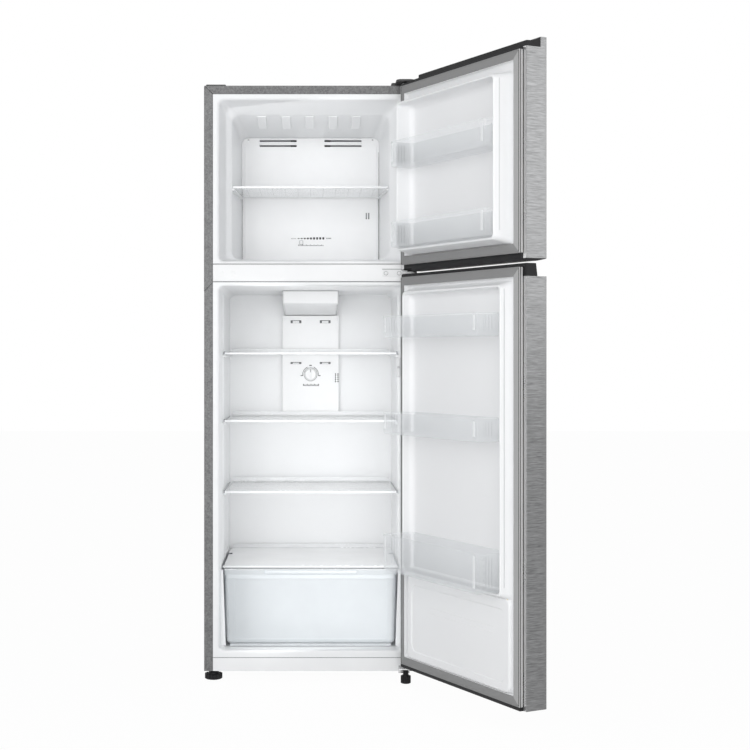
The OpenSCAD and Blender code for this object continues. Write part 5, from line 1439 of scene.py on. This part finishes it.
def middle_hinge():
    """The middle hinge: a plate on the rail, an arm folded forwards, and a pin up and down."""
    low, high = span("middle_hinge")[2]
    arm_z = (low + 13, high - 13)
    bm = bmesh.new()
    block(bm, (hinge_x - 71, hinge_x - 3), (-2, 0), rail_plate_z, edge=0.7, steps=3)
    block(bm, (hinge_x - 20, hinge_x - 3), (hinge_y, -0.5), arm_z, edge=0.5)
    block(bm, (hinge_x - 20, hinge_x), (hinge_y - 10, hinge_y + 10), arm_z, edge=0.5)
    rod(bm, "z", pin, arm_z, 10, edge=0.6)
    rod(bm, "z", pin, (arm_z[1], high), pin_r, edge=0.6, sides=28)
    rod(bm, "z", pin, (low, arm_z[0]), pin_r, edge=0.6, sides=28)
    for z in (arm_z[1] - 0.2, arm_z[0] - 0.8):
        rod(bm, "z", pin, (z, z + 1), 6.2, edge=0.2, sides=6)
    piece("centre_hinge", bm, hinge_white, replaced=["middle_hinge"])
    bm = bmesh.new()
    rod(bm, "z", pin, (arm_z[1] - 0.1, arm_z[1] + 2), 7.5, edge=0.4, sides=6)
    piece("centre_hinge_nut", bm, zinc)

    # The shade over the plate's top edge and round its screws
    bm = bmesh.new()
    top = rail_plate_z[1]
    block(bm, (hinge_x - 71.4, hinge_x - 3), (-0.9, 0.2), (top - 0.4, top + 1.3), edge=0.2)
    for x in plate_screws_x:
        rod(bm, "y", (x, sum(rail_plate_z) / 2), (-2.3, -1.8), 5.3, edge=0.15, sides=32)
    piece("centre_hinge_shade", bm, painted_shadow_dark)


def bottom_hinge():
    """The bottom hinge: a plate up the plinth, a shelf forwards that carries the pin, and a web under it."""
    z = span("bottom_hinge")[2]
    low, high = 37, 40
    plate_x = hinge_x - 30
    bm = bmesh.new()
    block(bm, (plate_x, hinge_x - 1), (-2, 0), (z[0], high), edge=0.6)
    block(bm, (plate_x, hinge_x), (hinge_y - 11, -0.5), (low, high), edge=0.6)
    block(bm, (hinge_x - 1, hinge_x + 6), (hinge_y, -2.4), (low, high), edge=0.5)
    rod(bm, "z", pin, (low, high), 11, edge=0.6)
    rod(bm, "z", pin, (high, z[1]), pin_r, edge=0.6, sides=28)
    rod(bm, "z", pin, (high - 0.1, high + 0.25), 7, sides=6)
    block(bm, (plate_x, plate_x + 2), (hinge_y - 8, -0.5), (low - 5, low + 0.5), edge=0.4)
    piece("lower_hinge", bm, zinc, replaced=["bottom_hinge"])


def hinge_screws():
    """The screw heads of all three hinges."""
    bm = bmesh.new()
    for x in (hinge_x - 30, hinge_x - 4):
        screw(bm, "z", (x, 42), shell_z[1] + top_plate_t, 1, 4.2, 2.2)
    for x in (hinge_x - 22, hinge_x - 8):
        screw(bm, "y", (x, shell_z[0] + 2.7), -2, -1, 2.8, 1.6)
    piece("hinge_screw_heads", bm, screw_steel, replaced=["hinge_screws"])
    bm = bmesh.new()
    for x in plate_screws_x:
        screw(bm, "y", (x, sum(rail_plate_z) / 2), -2.2, -1, 4.6, 1.6)
    piece("plate_screw_heads", bm, hinge_white)


def feet():
    """The front feet: a broad lobed levelling foot on the left, and a slim ribbed one under the hinge."""
    left = (-half + 23, 30)
    right = (hinge_x - 12.5, hinge_y + 6)
    bm = bmesh.new()
    rod(bm, "z", left, (0, 13), 20.6, edge=1.5, sides=64)
    for at in spread_round(left, 19.4, 16, first=0.5):
        rod(bm, "z", at, (1.2, 14.4), 3.5, edge=0.9, sides=16)
    rod(bm, "z", left, (13, 19), 14.5, end_radius=12.5, edge=0.8, sides=48)
    rod(bm, "z", left, (18, shell_z[0] - 0.2), 7, edge=0.3, sides=32)
    for i in range(4):
        rod(bm, "z", left, (19.4 + 1.5 * i, 20.2 + 1.5 * i), 7.6, edge=0.3, sides=32)
    rod(bm, "z", right, (0, 19), 11.4, edge=1.2, sides=48)
    for at in spread_round(right, 11.2, 14):
        rod(bm, "z", at, (1, 19.6), 1.75, edge=0.6, sides=12)
    rod(bm, "z", right, (18.6, 23), 9.6, end_radius=7.4, edge=0.5, sides=32)
    rod(bm, "z", right, (22, 37), 6.6, sides=32)
    for i in range(6):
        rod(bm, "z", right, (24 + 2 * i, 25 + 2 * i), 7.2, edge=0.4, sides=32)
    piece("levelling_feet", bm, black_plastic, replaced=["front_feet"])


def rollers():
    """The two rear rollers, each with a hub on both sides."""
    middle = (back_y - 39.2, 12)
    for name, x in (("roller_left", -half + 50), ("roller_right", half - 50)):
        bm = bmesh.new()
        rod(bm, "x", middle, (x - 8, x + 8), 12, edge=1.6, sides=48)
        for side in (-1, 1):
            rod(bm, "x", middle, sorted((x + side * 7.4, x + side * 8)), 6.5, edge=0.25, sides=32)
        piece(name + "_wheel", bm, black_plastic, name, replaced=[name])


def rear_sheet():
    """The rear sheet, with three pressed swages up it and a bead across it at top and bottom."""
    x, y, z = span("back_panel")
    face = y[1]
    bm = bmesh.new()
    block(bm, x, y, (z[0] + 0.5, z[1]), edge=0.3)
    swage_z = (z[0] + 70, z[1] - 70)
    for middle in (-150, 0, 150):
        swage_x = (middle - 42, middle + 42)
        lofted(bm, [(face + rise, drawn_in(swage_x, inset), drawn_in(swage_z, inset), r)
                    for rise, inset, r in ((-0.2, 0, 30), (0.9, 2, 28), (1.3, 4, 26))])
    for up in (24, z[1] - z[0] - 24):
        block(bm, (x[0] + 30, x[1] - 30), (face - 0.3, face + 1), (z[0] + up - 4, z[0] + up + 4), edge=0.8,
              steps=3)
    piece("rear_sheet", bm, galvanised, replaced=["back_panel"], sharp=20)


def machine_cover():
    """The machine cover with two rows of hooded louvres, and the screws of both rear sheets."""
    x, y, z = span("machine_cover")
    face = y[1]
    louvres = [(-150 + 30 * i, z[1] - drop) for drop in (130, 70) for i in range(11)]
    bm = bmesh.new()
    outline(bm, "xz", face, x, z, 3, 3)
    for middle, low in louvres:
        sunk(bm, (middle - 3, middle + 3), (low, low + 45), face, -2.6, material=1)
    drawn(bm, rim_of(bm), (0, -0.8, 0))
    piece("machine_sheet", bm, [galvanised, slot_dark], replaced=["machine_cover"], sheet=0.6,
          inside=(0, back_y - 60, 120))
    bm = bmesh.new()
    for middle, low in louvres:
        hood = middle + 3
        plan = [(hood, face - 0.3), (hood + 5.5, face - 0.3), (hood + 3, face + 1.9), (hood, face + 2.3)]
        pressed(bm, plan, "z", (low + 0.6, low + 44.4), edge=0.5)
    piece("louvre_hoods", bm, galvanised)

    bm = bmesh.new()
    edge = x[1] - 12
    for side in (-1, 1):
        for up in (60, 200, 330, 630, 930, 1230, 1500):
            screw(bm, "y", (side * edge, up), face, 1, 4, 1.8)
    for across in (-180, -60, 60, 180):
        screw(bm, "y", (across, z[1] - 10), face, 1, 4, 1.8)
        screw(bm, "y", (across, shell_z[1] - 10), face, 1, 4, 1.8)
    piece("rear_screws", bm, screw_steel)


def cord_gland():
    """The power cord's gland: a flange, a collar and six small bosses."""
    x, (near, far), z = span("power_gland")
    middle = ((x[0] + x[1]) / 2, (z[0] + z[1]) / 2)
    bm = bmesh.new()
    rod(bm, "y", middle, (far - 3, far), 12, edge=1.1, sides=48)
    rod(bm, "y", middle, (far - 0.9, far - 0.02), 7, edge=0.4, sides=40)
    rod(bm, "y", middle, (near, far - 2.8), 7.9, edge=0.5, sides=40)
    for at in spread_round(middle, 9.6, 6):
        rod(bm, "y", at, (far - 1.2, far - 0.05), 0.9, sides=12)
    piece("cord_gland", bm, black_plastic, replaced=["power_gland"])


def inner_parts():
    """The CAD nodes that stay as they are take a finish by their slot."""
    finishes = {"base_steel": galvanised, "foam": foam_tan, "copper_pipe": copper,
                "compressor_black": black_enamel, "black_plastic": black_plastic,
                "coil_aluminium": coil_aluminium, "motor_black": motor_grey, "heater_glass": heater_glass,
                "cover_white": cover_white}
    for node in frame["nodes"].values():
        for i, material in enumerate(node.data.materials):
            if material and material.name in finishes:
                node.data.materials[i] = finishes[material.name]


casing()
rails()
freezer_liner()
back_cover()
freezer_scale()
slider()
lower_liner()
wall_ledges()
lamp_housing()
duct()
dial_marks_and_knob_shadow()
dial()
for level in LEVELS:
    glass_shelf(level)
freezer_shelf()
crisper_cover()
crisper_drawer()
door_switch()
doors()
top_hinge()
top_covers()
middle_hinge()
bottom_hinge()
hinge_screws()
feet()
rollers()
rear_sheet()
machine_cover()
cord_gland()
inner_parts()
